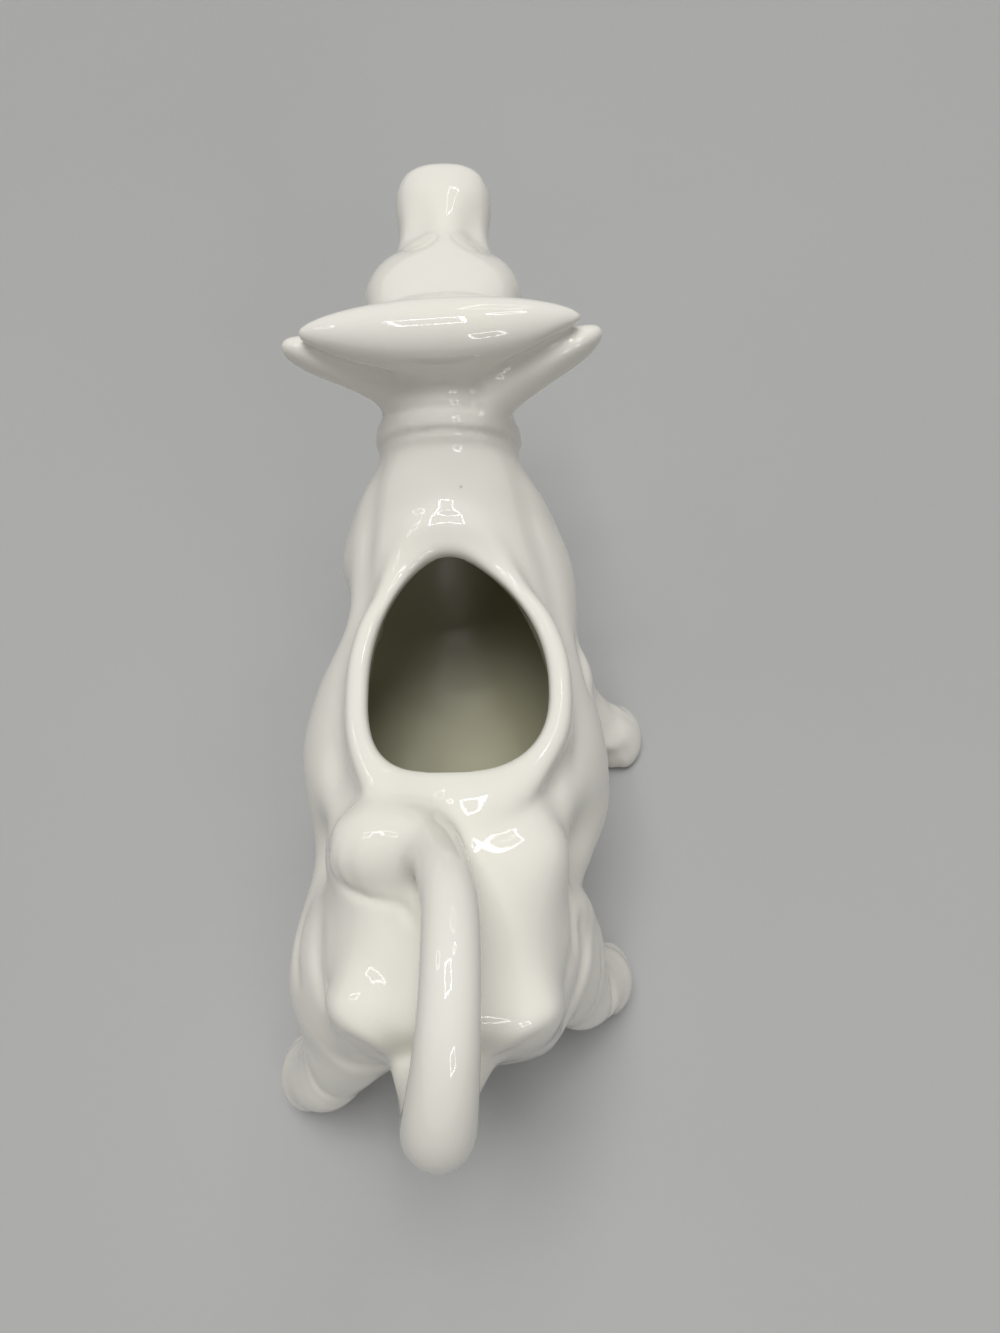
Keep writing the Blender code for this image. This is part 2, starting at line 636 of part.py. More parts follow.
def build_horns():
    """Both horns, one spindle that lies across the poll."""
    seat_y = SEAM_TOP.y + HORN_SETBACK
    seat_z = SEAM_TOP.z + HORN_UP_SHARE * HEAD_DEPTH
    points = []
    radii = []
    for side in steps(-1, 1, HORN_STEPS):
        taper = 1 - HORN_TAPER_SHARE * abs(side) ** 2.2
        end = math.sqrt(max(1 - abs(side) ** 14, 0.02))
        ahead = HORN_SWEEP * side * side + side * math.tan(HORN_SKEW) * HORN_SPAN / 2
        point = Vector((side * HORN_SPAN / 2, seat_y + ahead, seat_z + HORN_LIFT * side * side))
        points.append(turned(point))
        radii.append(HORN_RADIUS * taper * end)
    return tube("horns", points, radii, PARTS, PORCELAIN)


def build_ear(name, side, setback):
    """A cupped leaf-shaped ear under the horn, its root along the neck."""
    root = Vector((EAR_ROOT_ACROSS_SHARE * HEAD_WIDTH, SEAM_TOP.y + setback,
                   SEAM_TOP.z + EAR_ROOT_UP_SHARE * HEAD_DEPTH))
    tip = Vector((EAR_REACH, SEAM_TOP.y + EAR_SETBACK + EAR_SWEEP,
                  SEAM_TOP.z + EAR_TIP_UP_SHARE * HEAD_DEPTH))
    axis = (tip - root).normalized()
    width_way = Vector(EAR_LEAN_SHARES)
    out_way = axis.cross(width_way).normalized()
    rings = []
    for quarter in steps(0, 1, EAR_STEPS):
        along = math.sin(quarter * math.pi / 2)
        bulge = math.sqrt(max(1 - along ** 10, 0.02))
        half = EAR_WIDTH / 2 * (1.15 - 0.65 * along) * bulge
        thick = EAR_THICKNESS / 2 * (1.1 - 0.3 * along) * bulge
        centre = root + (tip - root) * along
        ring = []
        for angle in round_angles(EAR_AROUND_STEPS):
            span = math.cos(angle)
            cup = EAR_CUP_SHARE * EAR_THICKNESS * bulge * (1 - span * span)
            point = centre + width_way * span * half + out_way * (math.sin(angle) * thick + cup)
            point.x *= side
            point.y += (point.x - root.x * side) * math.tan(HORN_SKEW)
            ring.append(turned(point))
        rings.append(ring)
    return loft(name, rings, PARTS, PORCELAIN)


def build_leg(name, rows, sole_across, sole_along, hip_across, hip_along):
    """One leg, level rings from the flat sole to inside the trunk, with a cloven hoof."""
    foot = (sole_across * TRUNK_WIDTH / 2, RUMP_Y + sole_along * TRUNK_LENGTH)
    hip = (hip_across * TRUNK_WIDTH / 2, RUMP_Y + hip_along * TRUNK_LENGTH)
    table = np.array(rows)
    rings = []
    for place in steps(0, len(rows) - 1, (len(rows) - 1) * LEG_STEPS):
        up, share, bend, half, length = spline_row(table, place)
        x = foot[0] + (hip[0] - foot[0]) * share
        y = foot[1] + (hip[1] - foot[1]) * share + bend * LEG_HEIGHT
        cleft = CLEFT_SHARE * max(1 - up / CLEFT_TOP_SHARE, 0)
        ring = []
        for angle in round_angles(LEG_AROUND_STEPS):
            dent = 1 - cleft * (math.exp(-((angle - math.pi / 2) / CLEFT_WIDTH_SHARE) ** 2)
                                + math.exp(-((angle - 1.5 * math.pi) / CLEFT_WIDTH_SHARE) ** 2))
            ring.append(Vector((x + math.cos(angle) * half * HOOF_WIDTH / 2 * dent,
                                y + math.sin(angle) * length * HOOF_LENGTH / 2 * dent,
                                max(up, 0) * LEG_HEIGHT)))
        rings.append(ring)
    return loft(name, rings, PARTS, PORCELAIN)


def build_tail():
    """The tail, arched over the rump as the handle, thickest where it leaves the rump."""
    rear = RUMP_Y - TAIL_OVERHANG + TAIL_BEND_SHARE * TAIL_RADIUS
    front = RUMP_Y + TUFT_PLACE_SHARE * TRUNK_LENGTH
    arch = TAIL_RISE - TAIL_RADIUS
    rows = []
    for across, along, back, rise, thick in TAIL_SHARES:
        rows.append((across * TAIL_RADIUS, rear + along * (front - rear),
                     back * BACK_HEIGHT + rise * arch, thick * TAIL_RADIUS))
    points, radii = spline_path(rows, TAIL_STEPS)
    return tube("tail_handle", points, radii, PARTS, PORCELAIN)


def build_tuft():
    """The tuft of the tail, a thick roll that lies over the left hip."""
    front = RUMP_Y + TUFT_PLACE_SHARE * TRUNK_LENGTH
    rows = []
    for across, along, up, thick in TUFT_SHARES:
        rows.append((across * TUFT_WIDTH, front + along * TUFT_WIDTH,
                     BACK_HEIGHT + up * TUFT_WIDTH, thick * TUFT_WIDTH))
    points, radii = spline_path(rows, TUFT_STEPS)
    return tube("tail_tuft", points, radii, PARTS, PORCELAIN)


def main():
    trunk = build_trunk_form()
    cavity = build_cavity()
    opening = build_opening()
    body = trunk.copy()
    body.name = "body_shell"
    body.data = trunk.data.copy()
    PARTS.objects.link(body)
    body.hide_render = False
    body.display_type = "TEXTURED"
    add_boolean(body, cavity)
    add_boolean(body, opening)
    give_porcelain(body)

    head = loft("head", build_head_form(), PARTS, PORCELAIN)
    head_form = head.copy()
    head_form.name = "head_form"
    CUTTERS.objects.link(head_form)
    as_guide(head_form)
    add_boolean(head, build_channel())

    trunk_film = grown_copy(trunk, "trunk_film")
    head_film = grown_copy(head_form, "head_film")
    collar = build_collar()
    collar_film = grown_copy(collar, "collar_film")
    horns = build_horns()
    horns_film = grown_copy(horns, "horns_film")
    add_boolean(horns, head_film)
    for name, side, setback in (("ear_right", 1, EAR_SETBACK),
                                ("ear_left", -1, EAR_SETBACK + EAR_LEAD)):
        ear = build_ear(name, side, setback)
        for film in (head_film, trunk_film, collar_film, horns_film):
            add_boolean(ear, film)
    for row in LEG_SHARES:
        add_boolean(build_leg(*row), trunk_film)
    tail = build_tail()
    tail_film = grown_copy(tail, "tail_film")
    add_boolean(tail, trunk_film)
    tuft = build_tuft()
    add_boolean(tuft, trunk_film)
    add_boolean(tuft, tail_film)


main()
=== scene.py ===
"""Looks of the cow creamer: one seamless skin of white glaze over the luted pieces.

The pieces of the frame are drawn again as fine lofts, joined in a field of distances so that they
flow into each other as clay and glaze do, and hollowed out. Lengths are millimetres until the
mesh is written. The cow faces +Y, its right side is +X, and shapes are drawn about its own plane
of symmetry, which lies MIDPLANE_X off the middle of the frame.
"""

import math

import bpy
import numpy as np
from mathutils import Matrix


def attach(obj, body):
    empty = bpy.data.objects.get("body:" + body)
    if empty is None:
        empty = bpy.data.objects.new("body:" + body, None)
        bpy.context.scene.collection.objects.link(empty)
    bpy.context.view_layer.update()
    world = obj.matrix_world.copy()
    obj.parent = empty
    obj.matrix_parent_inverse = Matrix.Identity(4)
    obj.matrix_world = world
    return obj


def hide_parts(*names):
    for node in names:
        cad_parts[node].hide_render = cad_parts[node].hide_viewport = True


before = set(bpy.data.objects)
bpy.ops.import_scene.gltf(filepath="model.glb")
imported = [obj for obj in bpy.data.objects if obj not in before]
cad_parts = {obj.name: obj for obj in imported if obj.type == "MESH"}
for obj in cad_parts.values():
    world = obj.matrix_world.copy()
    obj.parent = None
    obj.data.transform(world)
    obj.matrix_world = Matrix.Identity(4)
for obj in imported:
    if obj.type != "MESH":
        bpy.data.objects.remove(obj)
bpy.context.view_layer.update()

import openvdb
from mathutils import Matrix, Vector

# Sizes of the frame's pieces, in millimetres
TRUNK_LENGTH = 100.0
BACK_HEIGHT = 75.0
TRUNK_WIDTH = 60.0
WALL = 3.2
HEAD_LENGTH = 64.0
HEAD_DEPTH = 26.0
HEAD_WIDTH = 27.8
HEAD_TURN = math.radians(0.8)
MOUTH_WIDTH = 11.0
MOUTH_HEIGHT = 6.6
OPENING_LENGTH = 39.5
OPENING_WIDTH = 30.4
OPENING_SETBACK = 42.5
OPENING_SKEW = 1.8
RIM_RADIUS = 2.3
RIM_RISE = 2.2
SKIRT_DEPTH = 9.0
COLLAR_WIDTH = 7.2
COLLAR_RISE = 1.7
HORN_SETBACK = 8.9
HORN_SPAN = 49.6
HORN_RADIUS = 6.1
HORN_SKEW = math.radians(2.8)
HORN_LIFT = 1.0
HORN_SWEEP = 1.4
EAR_REACH = 28.8
EAR_SETBACK = 7.0
EAR_LEAD = 3.4
EAR_SWEEP = 4.4
EAR_WIDTH = 10.6
EAR_THICKNESS = 6.2
LEG_HEIGHT = 48.0
HOOF_WIDTH = 12.6
HOOF_LENGTH = 17.5
TAIL_RADIUS = 4.3
TAIL_RISE = 21.0
TAIL_OVERHANG = 16.5
TUFT_WIDTH = 13.4

# Rings of the trunk: back (along, up), belly (along, up), half width, widest height, squareness
# of the upper and lower halves, as shares of the sizes above, from the rump to the neck seam.
TRUNK_SHARES = (
    (-0.004, 0.840, -0.014, 0.600, 0.28, 0.50, 2.2, 2.0),
    (0.014, 0.945, -0.012, 0.500, 0.46, 0.46, 2.3, 2.1),
    (0.052, 0.990, 0.006, 0.430, 0.57, 0.44, 2.4, 2.2),
    (0.130, 1.015, 0.080, 0.400, 0.65, 0.42, 2.4, 2.2),
    (0.250, 1.020, 0.220, 0.390, 0.72, 0.42, 2.4, 2.3),
    (0.340, 1.015, 0.340, 0.385, 0.82, 0.43, 2.3, 2.3),
    (0.440, 1.005, 0.440, 0.375, 0.93, 0.46, 2.1, 2.2),
    (0.550, 1.000, 0.550, 0.365, 0.99, 0.46, 2.0, 2.2),
    (0.670, 1.005, 0.670, 0.365, 0.92, 0.46, 2.0, 2.2),
    (0.770, 1.030, 0.790, 0.380, 0.79, 0.46, 2.1, 2.2),
    (0.840, 1.068, 0.905, 0.415, 0.73, 0.47, 2.1, 2.1),
    (0.900, 1.100, 1.010, 0.480, 0.71, 0.48, 2.0, 2.0),
    (0.950, 1.144, 1.095, 0.580, 0.640, 0.48, 2.0, 2.0),
    (0.990, 1.190, 1.150, 0.710, 0.490, 0.50, 2.0, 2.0),
    (1.025, 1.230, 1.180, 0.830, 0.42, 0.50, 2.0, 2.0),
)

# Rings of the head, from the neck seam to the muzzle, in the same order
HEAD_SHARES = (
    (0.060, 0.180, 0.300, -0.830, 0.91, 0.50, 2.0, 2.0),
    (0.140, 0.410, 0.370, -0.640, 0.94, 0.52, 2.2, 2.0),
    (0.270, 0.480, 0.440, -0.540, 1.00, 0.56, 2.4, 2.0),
    (0.410, 0.420, 0.520, -0.520, 1.04, 0.58, 2.5, 2.1),
    (0.535, 0.345, 0.600, -0.500, 0.97, 0.54, 2.3, 2.2),
    (0.640, 0.275, 0.680, -0.470, 0.72, 0.48, 2.1, 2.3),
    (0.750, 0.245, 0.770, -0.440, 0.65, 0.48, 2.2, 2.3),
    (0.860, 0.245, 0.860, -0.420, 0.70, 0.50, 2.4, 2.3),
    (0.945, 0.225, 0.940, -0.390, 0.71, 0.50, 2.4, 2.3),
    (0.990, 0.150, 0.980, -0.310, 0.62, 0.50, 2.3, 2.2),
    (1.000, 0.020, 0.990, -0.190, 0.34, 0.50, 2.2, 2.0),
)

# Swellings and hollows of the trunk: across, along and up to the centre, spread and height
TRUNK_RELIEF_SHARES = (
    (0.80, 0.890, 0.740, 0.42, 0.12),    # right shoulder
    (-0.70, 0.950, 0.740, 0.32, 0.06),   # left shoulder
    (-0.86, 0.810, 0.740, 0.24, -0.22),  # dip behind the left shoulder
    (1.00, 0.430, 0.560, 0.32, 0.09),    # right side of the belly
    (-1.00, 0.470, 0.560, 0.34, -0.05),  # left side of the belly
    (0.70, 0.170, 0.560, 0.46, 0.15),    # right haunch
    (-0.84, 0.160, 0.580, 0.52, 0.34),   # left haunch
    (-0.86, 0.050, 0.500, 0.34, 0.27),   # side of the left thigh
    (-0.50, -0.010, 0.560, 0.36, 0.12),  # back of the left thigh
    (-0.05, -0.020, 0.780, 0.28, 0.20),  # dock, where the tail leaves the rump
    (0.60, 0.290, 0.960, 0.26, 0.11),    # right hook bone
    (-0.62, 0.300, 0.950, 0.26, 0.10),   # left hook bone
    (0.46, 0.040, 0.880, 0.22, 0.13),    # right pin bone
    (-0.50, 0.050, 0.890, 0.22, 0.14),   # left pin bone
    (0.24, 0.110, 1.010, 0.24, -0.04),   # hollow of the rump right of the tail
    (-0.32, 0.110, 1.010, 0.22, -0.04),  # hollow of the rump left of the tail
    (0.86, 0.330, 0.780, 0.24, -0.16),   # hollow of the right flank
    (-0.86, 0.330, 0.790, 0.24, -0.15),  # hollow of the left flank
)

# The same for the head. Each stands on both sides.
HEAD_RELIEF_SHARES = (
    (0.48, 0.650, 0.180, 0.28, -0.12),   # hollow beside the bridge of the nose
    (0.90, 0.440, 0.000, 0.24, 0.08),    # eye
    (0.62, 0.560, -0.300, 0.50, 0.14),   # cheek
)

# Level rings of a leg: height, way from foot to hip, bend forward, half width, half length. The
# fetlocks of the hind legs are a little fuller than those of the frame's pieces.
FRONT_LEG_SHARES = (
    (0.000, 0.00, 0.000, 0.90, 0.86),
    (0.020, 0.00, 0.000, 0.99, 0.96),
    (0.090, 0.01, 0.000, 1.00, 0.94),
    (0.170, 0.08, -0.010, 0.90, 0.74),
    (0.230, 0.20, -0.020, 0.92, 0.72),
    (0.300, 0.34, -0.010, 0.82, 0.60),
    (0.420, 0.54, 0.010, 0.84, 0.62),
    (0.520, 0.68, 0.030, 1.02, 0.78),
    (0.640, 0.80, 0.010, 1.10, 0.88),
    (0.800, 0.92, 0.000, 1.22, 1.04),
    (1.000, 1.00, 0.000, 1.24, 1.12),
)
REAR_LEG_SHARES = (
    (0.000, 0.00, 0.000, 0.90, 0.86),
    (0.020, 0.00, 0.000, 0.99, 0.96),
    (0.090, 0.01, 0.000, 1.00, 0.94),
    (0.170, 0.04, -0.020, 0.97, 0.84),
    (0.230, 0.09, -0.030, 1.02, 0.84),
    (0.310, 0.18, -0.050, 0.98, 0.80),
    (0.420, 0.31, -0.080, 0.96, 0.82),
    (0.520, 0.46, -0.080, 1.04, 0.94),
    (0.640, 0.62, -0.030, 1.20, 1.18),
    (0.800, 0.80, 0.040, 1.56, 1.56),
    (1.000, 1.00, 0.060, 1.50, 1.60),
)

# Each leg: its node, its rings, its sole (across, along) and where it enters the trunk
LEG_SHARES = (
    ("leg_front_right", FRONT_LEG_SHARES, 1.287, 0.768, 0.600, 0.820),
    ("leg_front_left", FRONT_LEG_SHARES, -0.933, 0.940, -0.533, 0.890),
    ("leg_rear_right", REAR_LEG_SHARES, 1.057, 0.185, 0.500, 0.170),
    ("leg_rear_left", REAR_LEG_SHARES, -1.093, 0.004, -0.520, 0.090),
)

# The tail's middle line from the tuft to its root: across, along, up (two shares), thickness
TAIL_SHARES = (
    (-0.88, 1.000, 0.987, 0.00, 1.05),
    (-0.28, 0.882, 1.000, 0.36, 1.00),
    (0.23, 0.693, 1.000, 0.79, 1.00),
    (0.33, 0.458, 1.000, 1.00, 1.00),
    (0.19, 0.198, 1.000, 0.85, 1.08),
    (-0.12, 0.000, 1.000, 0.34, 1.25),
    (-0.30, 0.000, 0.943, 0.00, 1.34),
    (-0.44, 0.118, 0.823, 0.00, 1.55),
    (-0.30, 0.330, 0.750, 0.00, 2.60),
)
TAIL_BEND_SHARE = 1.43
TUFT_PLACE_SHARE = 0.320

# The tuft's middle line from its left end: across, up, along, radius
TUFT_SHARES = (
    (-1.390, -0.060, -0.190, 0.12),
    (-1.300, -0.070, -0.180, 0.36),
    (-0.940, -0.090, -0.150, 0.54),
    (-0.522, -0.100, -0.100, 0.53),
    (-0.149, -0.119, 0.000, 0.42),
)

# The filler: where it is widest, how pointed and how square it is, where its wall begins and
# where its brink lies, how far the brink is rounded over at the front, and how far the wall
# widens below the lip. Then the lip: how far it runs out to the rear, how far its ring reaches
# into the hole that is cut through it, and how far its skirt reaches out.
OPENING_WIDEST_SHARE = 0.404
OPENING_POINT_SHARE = 0.06
OPENING_SQUARE_SHARE = 0.72
OPENING_BOTTOM_SHARE = 0.74
OPENING_BRINK_SHARE = 1.02
OPENING_BRINK_RADIUS = 2.6 * RIM_RADIUS
UNDERCUT_SLOPE = 0.28
UNDERCUT_LIMIT = 1.4
RIM_RUNOUT_SHARE = 1.1
RIM_OVERLAP = 3
SKIRT_REACH_SHARE = 2.3

# The pouring hole, the horns, the ears and the clefts of the hooves. TIP_REST is what is left
# of a section's area at the very tip of a horn or ear.
MOUTH_DROP_SHARE = 0.13
MOUTH_DEPTH_SHARE = 0.09
MOUTH_OVERRUN = 5
HORN_UP_SHARE = 0.44
HORN_TAPER_SHARE = 0.80
HORN_TAPER_POWER = 2.2
HORN_END_POWER = 14
EAR_ROOT_ACROSS_SHARE = 0.30
EAR_ROOT_UP_SHARE = -0.02
EAR_TIP_UP_SHARE = 0.30
EAR_LEAN = np.array((0, 0.78, 0.62))
EAR_CUP_SHARE = 0.35
EAR_ROOT_WIDTH_SHARE = 1.15
EAR_WIDTH_TAPER_SHARE = 0.65
EAR_ROOT_THICKNESS_SHARE = 1.1
EAR_THICKNESS_TAPER_SHARE = 0.3
EAR_END_POWER = 10
TIP_REST = 0.02
CLEFT_SHARE = 0.13
CLEFT_TOP_SHARE = 0.16
CLEFT_WIDTH = 0.22

# The hollow: the rings that close it at the rear (place and share of their size), the rows
# between which it follows the skin, the last counted back from the muzzle
HOLLOW_CAP = ((1.5, 0.45), (1.7, 0.82))
HOLLOW_START = 2
HOLLOW_STOP = 3.5

# How finely forms are drawn: corners of a ring, and rows of a table between two rings
SKIN_CORNERS = 200
OUTLINE_CORNERS = 240
RING_CORNERS = 120
SKIN_ROW_STEP = 0.07
HOLLOW_ROW_STEP = 0.1
LEG_ROW_STEP = 0.1
TAIL_ROW_STEP = 0.05
LINE_ROW_STEP = 0.06

# Creases round the neck: place across the collar (its edges are -1 and 1) and depth
COLLAR_CREASES = ((-0.85, 0.6), (0.15, 0.3), (0.9, 0.55))
CREASE_WIDTH = 0.9
CREASE_LIFT = 0.8
SEAM_RING_SPACING = 8

# The field of distances: its grid, its corners and how far from a surface it still tells the
# distance. The skin is drawn through it at a wider step.
VOXEL = 0.5
FIELD_CORNERS = ((-46, -97, -4), (50, 97, 114))
REACH = 6.0
SKIN_STEP = 0.88
SKIN_CORRECTIONS = 4
CORRECTION_LIMIT = 0.4

# How far the forms flow into each other
LIP_BLEND = 4.0
COLLAR_BLEND = 2.0
HORN_BLEND = 8.0
EAR_BLEND = 5.0
LEG_BLEND = 3.0
TUFT_BLEND = 6.0
TAIL_BLEND = 3.0
HOLLOW_BLEND = 2.0
EDGE_BLEND = 1.6

# Places softened more than the rest: passes, centre and reach
SOFT_PLACES = (
    (80, (0, 64, 99), 13),     # from the brow to the nose
    (8, (-15, 34, 98.5), 7),   # between the left horn and ear
    (8, (15, 34, 99.5), 7),    # between the right horn and ear
    (16, (-14, -76, 51), 8),   # where the left hind leg leaves the rump
    (14, (-11, 3, 79), 7),     # left end of the crest before the filler
    (14, (12, 3, 79), 7),      # right end of the crest
)

# The painted shade of the hollow: how far outside it begins, over what way it grows to its full,
# and how far below the roll of the lip the filler counts as hollow
SHADE_START = 1.0
SHADE_PASSAGE = 0.8
SHADE_SINK = 1.6

# The glaze: colours in linear values, the hollow's one being painted shade, lowest and highest
# roughness and what the hollow adds, height of its waves and pores in metres, and the iron
# specks: cells in a metre, the distances from a cell's point where a speck ends and is full, the
# share of cells without, and strength
GLAZE_WARM = (0.81, 0.785, 0.70)
GLAZE_COOL = (0.785, 0.765, 0.70)
SPECK_COLOUR = (0.33, 0.29, 0.22)
# painted shade: a darker olive colour put on the inside of the hollow, where it lies in shade
HOLLOW_SHADE_COLOUR = (0.43, 0.41, 0.29)
GLAZE_IOR = 1.52
GLAZE_ROUGHNESS = (0.045, 0.08)
HOLLOW_ROUGHNESS = 0.28
WAVE_HEIGHT = 0.00014
PORE_HEIGHT = 0.000006
SPECK_CELLS = 75.0
SPECK_RADII = (0.035, 0.015)
SPECK_FREE_SHARE = 0.8
SPECK_STRENGTH = 0.55

# The floor
FLOOR_DARK = (0.385, 0.385, 0.38)
FLOOR_LIGHT = (0.41, 0.41, 0.405)
FLOOR_ROUGHNESS = (0.50, 0.62)
FLOOR_GRAIN_HEIGHT = 0.00004
FLOOR_SIZE = 14

# The camera, fitted to the photograph: focal length and picture height in its pixels, place in
# metres about the cow's own plane, and turns in degrees about Z, X and Y
FOCAL_PIXELS = 940
PICTURE_HEIGHT = 1333
SENSOR_HEIGHT = 36
CAMERA_PLACE = (0.008, -0.08572, 0.22378)
CAMERA_TURNS = (("Z", -0.86), ("X", -64), ("Y", 0.21))
LEVEL_LOOK = ((1, 0, 0, 0), (0, 0, -1, 0), (0, 1, 0, 0), (0, 0, 0, 1))

# The light: strength of the world on surfaces and what each kind of seeing ray adds to it, the
# soft lamp, and the panes that the glaze mirrors: name, place, width, height and power
WORLD_STRENGTH = 0.20
WORLD_SEEN_MORE = 0.50
SOFT_LIGHT_ENERGY = 1.55
SOFT_LIGHT_ANGLE = math.radians(34)
SOFT_LIGHT_WAY = (0.07, -0.14, -1)
PANE_AIM = (0, -0.01, 0.06)
PANE_BAR = 0.02
PANES = (
    ("window_top", (-0.06, -0.02, 0.90), 0.26, 0.30, 1.3),
    ("window_front", (0.15, 0.55, 0.68), 0.20, 0.24, 0.25),
    ("window_rear", (0.26, -0.62, 0.55), 0.18, 0.22, 0.6),
    ("window_left", (-0.54, 0.13, 0.66), 0.14, 0.18, 0.25),
    ("window_right", (0.21, 0.22, 0.74), 0.07, 0.15, 0.25),
)

# Grooves pressed into the clay and ridges raised on it: width, depth (a ridge has a negative
# one) and the points of the line, across, along and up, about the cow's own plane. Of a pair,
# the left one comes first.
STROKES = (
    # under the horns
    (1.7, 1.1, ((-24.5, 36, 102), (-19, 34.5, 100.5), (-15, 34, 99), (-10.5, 32.5, 98))),
    (1.7, 1.1, ((24, 38.5, 103), (20.5, 36, 103), (16, 34, 101.5), (11, 33, 99.5))),
    # from the neck over the shoulders
    (3.2, 1.0, ((-13.5, 26, 80), (-15.5, 16, 74), (-16.5, 8, 71.5), (-17, 1, 70))),
    (3.2, 0.65, ((13.5, 24, 80), (16, 17, 75), (19.5, 8, 69), (22, -3, 64))),
    # above the right elbow, and the elbow
    (1.5, 0.7, ((25.2, 1, 58.6), (25.5, -5, 58.8), (26, -11, 58.6))),
    (2.6, -1.1, ((26.3, -1.5, 54.5), (26.9, -6.5, 55))),
    # from the flanks to the rump
    (3.6, 1.1, ((-20, -27, 68), (-19.5, -33, 69), (-17.5, -39, 72))),
    (3.6, 1.1, ((18.5, -30, 72), (18.5, -35, 71), (20, -41, 67))),
    # above and before the right thigh, and the thigh
    (1.9, 1.3, ((20.5, -44, 66), (21, -51, 60), (21, -58, 58))),
    (2.6, 1.4, ((22.8, -43, 58), (23.6, -44, 51), (24.5, -44.5, 44))),
    (2.8, -0.9, ((23.5, -50, 55), (24.6, -50.5, 49), (25.6, -51, 43))),
    # along the left thigh
    (1.9, 0.9, ((-27, -48, 56), (-27.5, -54, 52), (-27, -62, 52))),
    # beside the pin bones
    (2.2, 1.1, ((-23.5, -54, 62), (-22.5, -61, 60), (-21, -67, 60))),
    (2.0, 0.8, ((21.5, -60, 60), (19.5, -66, 61), (18, -70, 62))),
    # edges of the rump, down to the tail
    (1.9, -0.7, ((-19.5, -67, 67), (-14, -72, 70), (-10.5, -74.5, 67.5), (-9, -78, 62))),
    (1.9, -0.7, ((16, -70, 70), (11, -73, 70), (6.5, -76, 64))),
    # wrinkles of the tuft
    (0.8, 0.40, ((-17, -43, 78.5), (-19, -45, 75.5), (-19.3, -46.5, 72.5), (-18, -49, 71.5))),
    (0.8, 0.32, ((-15, -43, 80), (-17.2, -45, 78), (-17.8, -48, 75), (-16.3, -50.5, 73))),
    (1.2, 0.25, ((-13, -43, 80.5), (-15, -46, 79), (-15.3, -49, 76), (-14, -51.5, 74))),
    # under the tuft
    (1.3, 0.9, ((-17, -50.5, 72), (-12, -52.5, 73), (-7, -54, 74), (-5.5, -57, 75))),
    # dimple left of the tail and hollow right of it
    (3.0, 0.8, ((-8, -57, 75.5), (-7.5, -60, 75.5))),
    (2.4, 0.5, ((5, -50, 78), (5.5, -58, 77))),
    # between the right thigh and the foot
    (2.2, 1.3, ((22.5, -54, 54), (23.3, -59, 51), (22, -64, 51), (19, -69, 51))),
    # creases of the right hind foot
    (1.3, 0.8, ((28, -57, 40), (27.7, -62, 36.5), (26.5, -67, 34))),
    (1.3, 0.7, ((32, -56, 27), (31.4, -61, 24), (30.3, -66, 20))),
    # crease of the left hind foot
    (1.3, 0.8, ((-29.5, -70, 35), (-29.5, -74, 34), (-27, -79, 32), (-23, -82, 32))),
    # outside of the left foreleg
    (3.4, 2.6, ((-23.5, 8, 49), (-24, 12.5, 46.5), (-24, 16, 41), (-24.2, 20, 31))),
    # beside the bridge of the nose
    (3.2, 0.9, ((-5.1, 78, 97), (-5.4, 71, 98), (-6, 64, 99.5))),
    (3.2, 0.9, ((5.9, 78, 95.5), (6.3, 70, 97), (7, 63, 98.8))),
    # filling between the tuft and the tail
    (3.2, -1.3, ((-6.8, -42, 80.7), (-6.2, -47, 80), (-6, -51, 78))),
    # crest before the filler
    (2.5, -0.9, ((-11.8, 4.5, 76.5), (-8.8, 9, 78.5), (-5.5, 12.1, 80.6), (0, 13.6, 81.8),
                 (5.7, 12.1, 80.5), (9.2, 9, 78.5), (12, 4.5, 76.7))),
    # toes of the right front hoof
    (1.1, 0.4, ((36, 5, 16), (40, 4, 11), (42.5, 3, 4))),
    (1.1, 0.4, ((35, -3, 16), (39, -4, 11), (41.5, -5, 4))),
    # corners of the mouth
    (1.0, 0.55, ((-7.8, 90, 88), (-9.8, 84, 87.2), (-9.9, 77, 87.5))),
    (1.0, 0.55, ((6.8, 90, 88), (8.6, 84, 87.2), (8.5, 77, 87.5))),
    # nostrils
    (1.4, 0.9, ((-5.8, 91.5, 95.3), (-8.2, 90, 94), (-9.4, 87.5, 93.3))),
    (1.4, 0.9, ((5, 91.5, 95.3), (7.2, 90, 94), (8.4, 87.5, 93.3))),
    # eyes
    (2.2, -0.3, ((-15.4, 57.5, 91), (-15.1, 60.5, 91.2))),
    (2.2, -0.3, ((14.6, 57.5, 91), (14.3, 60.5, 91.2))),
    # upper and lower lid of the left eye, then of the right one
    (0.8, 0.5, ((-15.3, 54.6, 91.3), (-15.3, 58, 94.2), (-14.8, 63, 91.8))),
    (0.8, 0.5, ((-15.3, 54.6, 91.3), (-15.1, 58.5, 89), (-14.8, 63, 91.8))),
    (0.8, 0.5, ((14.5, 54.6, 91.3), (14.5, 58, 94.2), (14, 63, 91.8))),
    (0.8, 0.5, ((14.5, 54.6, 91.3), (14.3, 58.5, 89), (14, 63, 91.8))),
)


def spline_rows(rows, places):
    """Rows of a table at any places between its rows, on a Catmull-Rom spline."""
    rows = np.asarray(rows, float)
    places = np.atleast_1d(np.asarray(places, float))
    last = len(rows) - 1
    start = np.clip(np.floor(places).astype(int), 0, last - 1)
    t = (places - start)[:, None]
    before = rows[np.maximum(start - 1, 0)]
    here = rows[start]
    there = rows[start + 1]
    after = rows[np.minimum(start + 2, last)]
    slope_here = (there - before) / 2
    slope_there = (after - here) / 2
    return ((2 * t**3 - 3 * t**2 + 1) * here + (t**3 - 2 * t**2 + t) * slope_here
            + (3 * t**2 - 2 * t**3) * there + (t**3 - t**2) * slope_there)


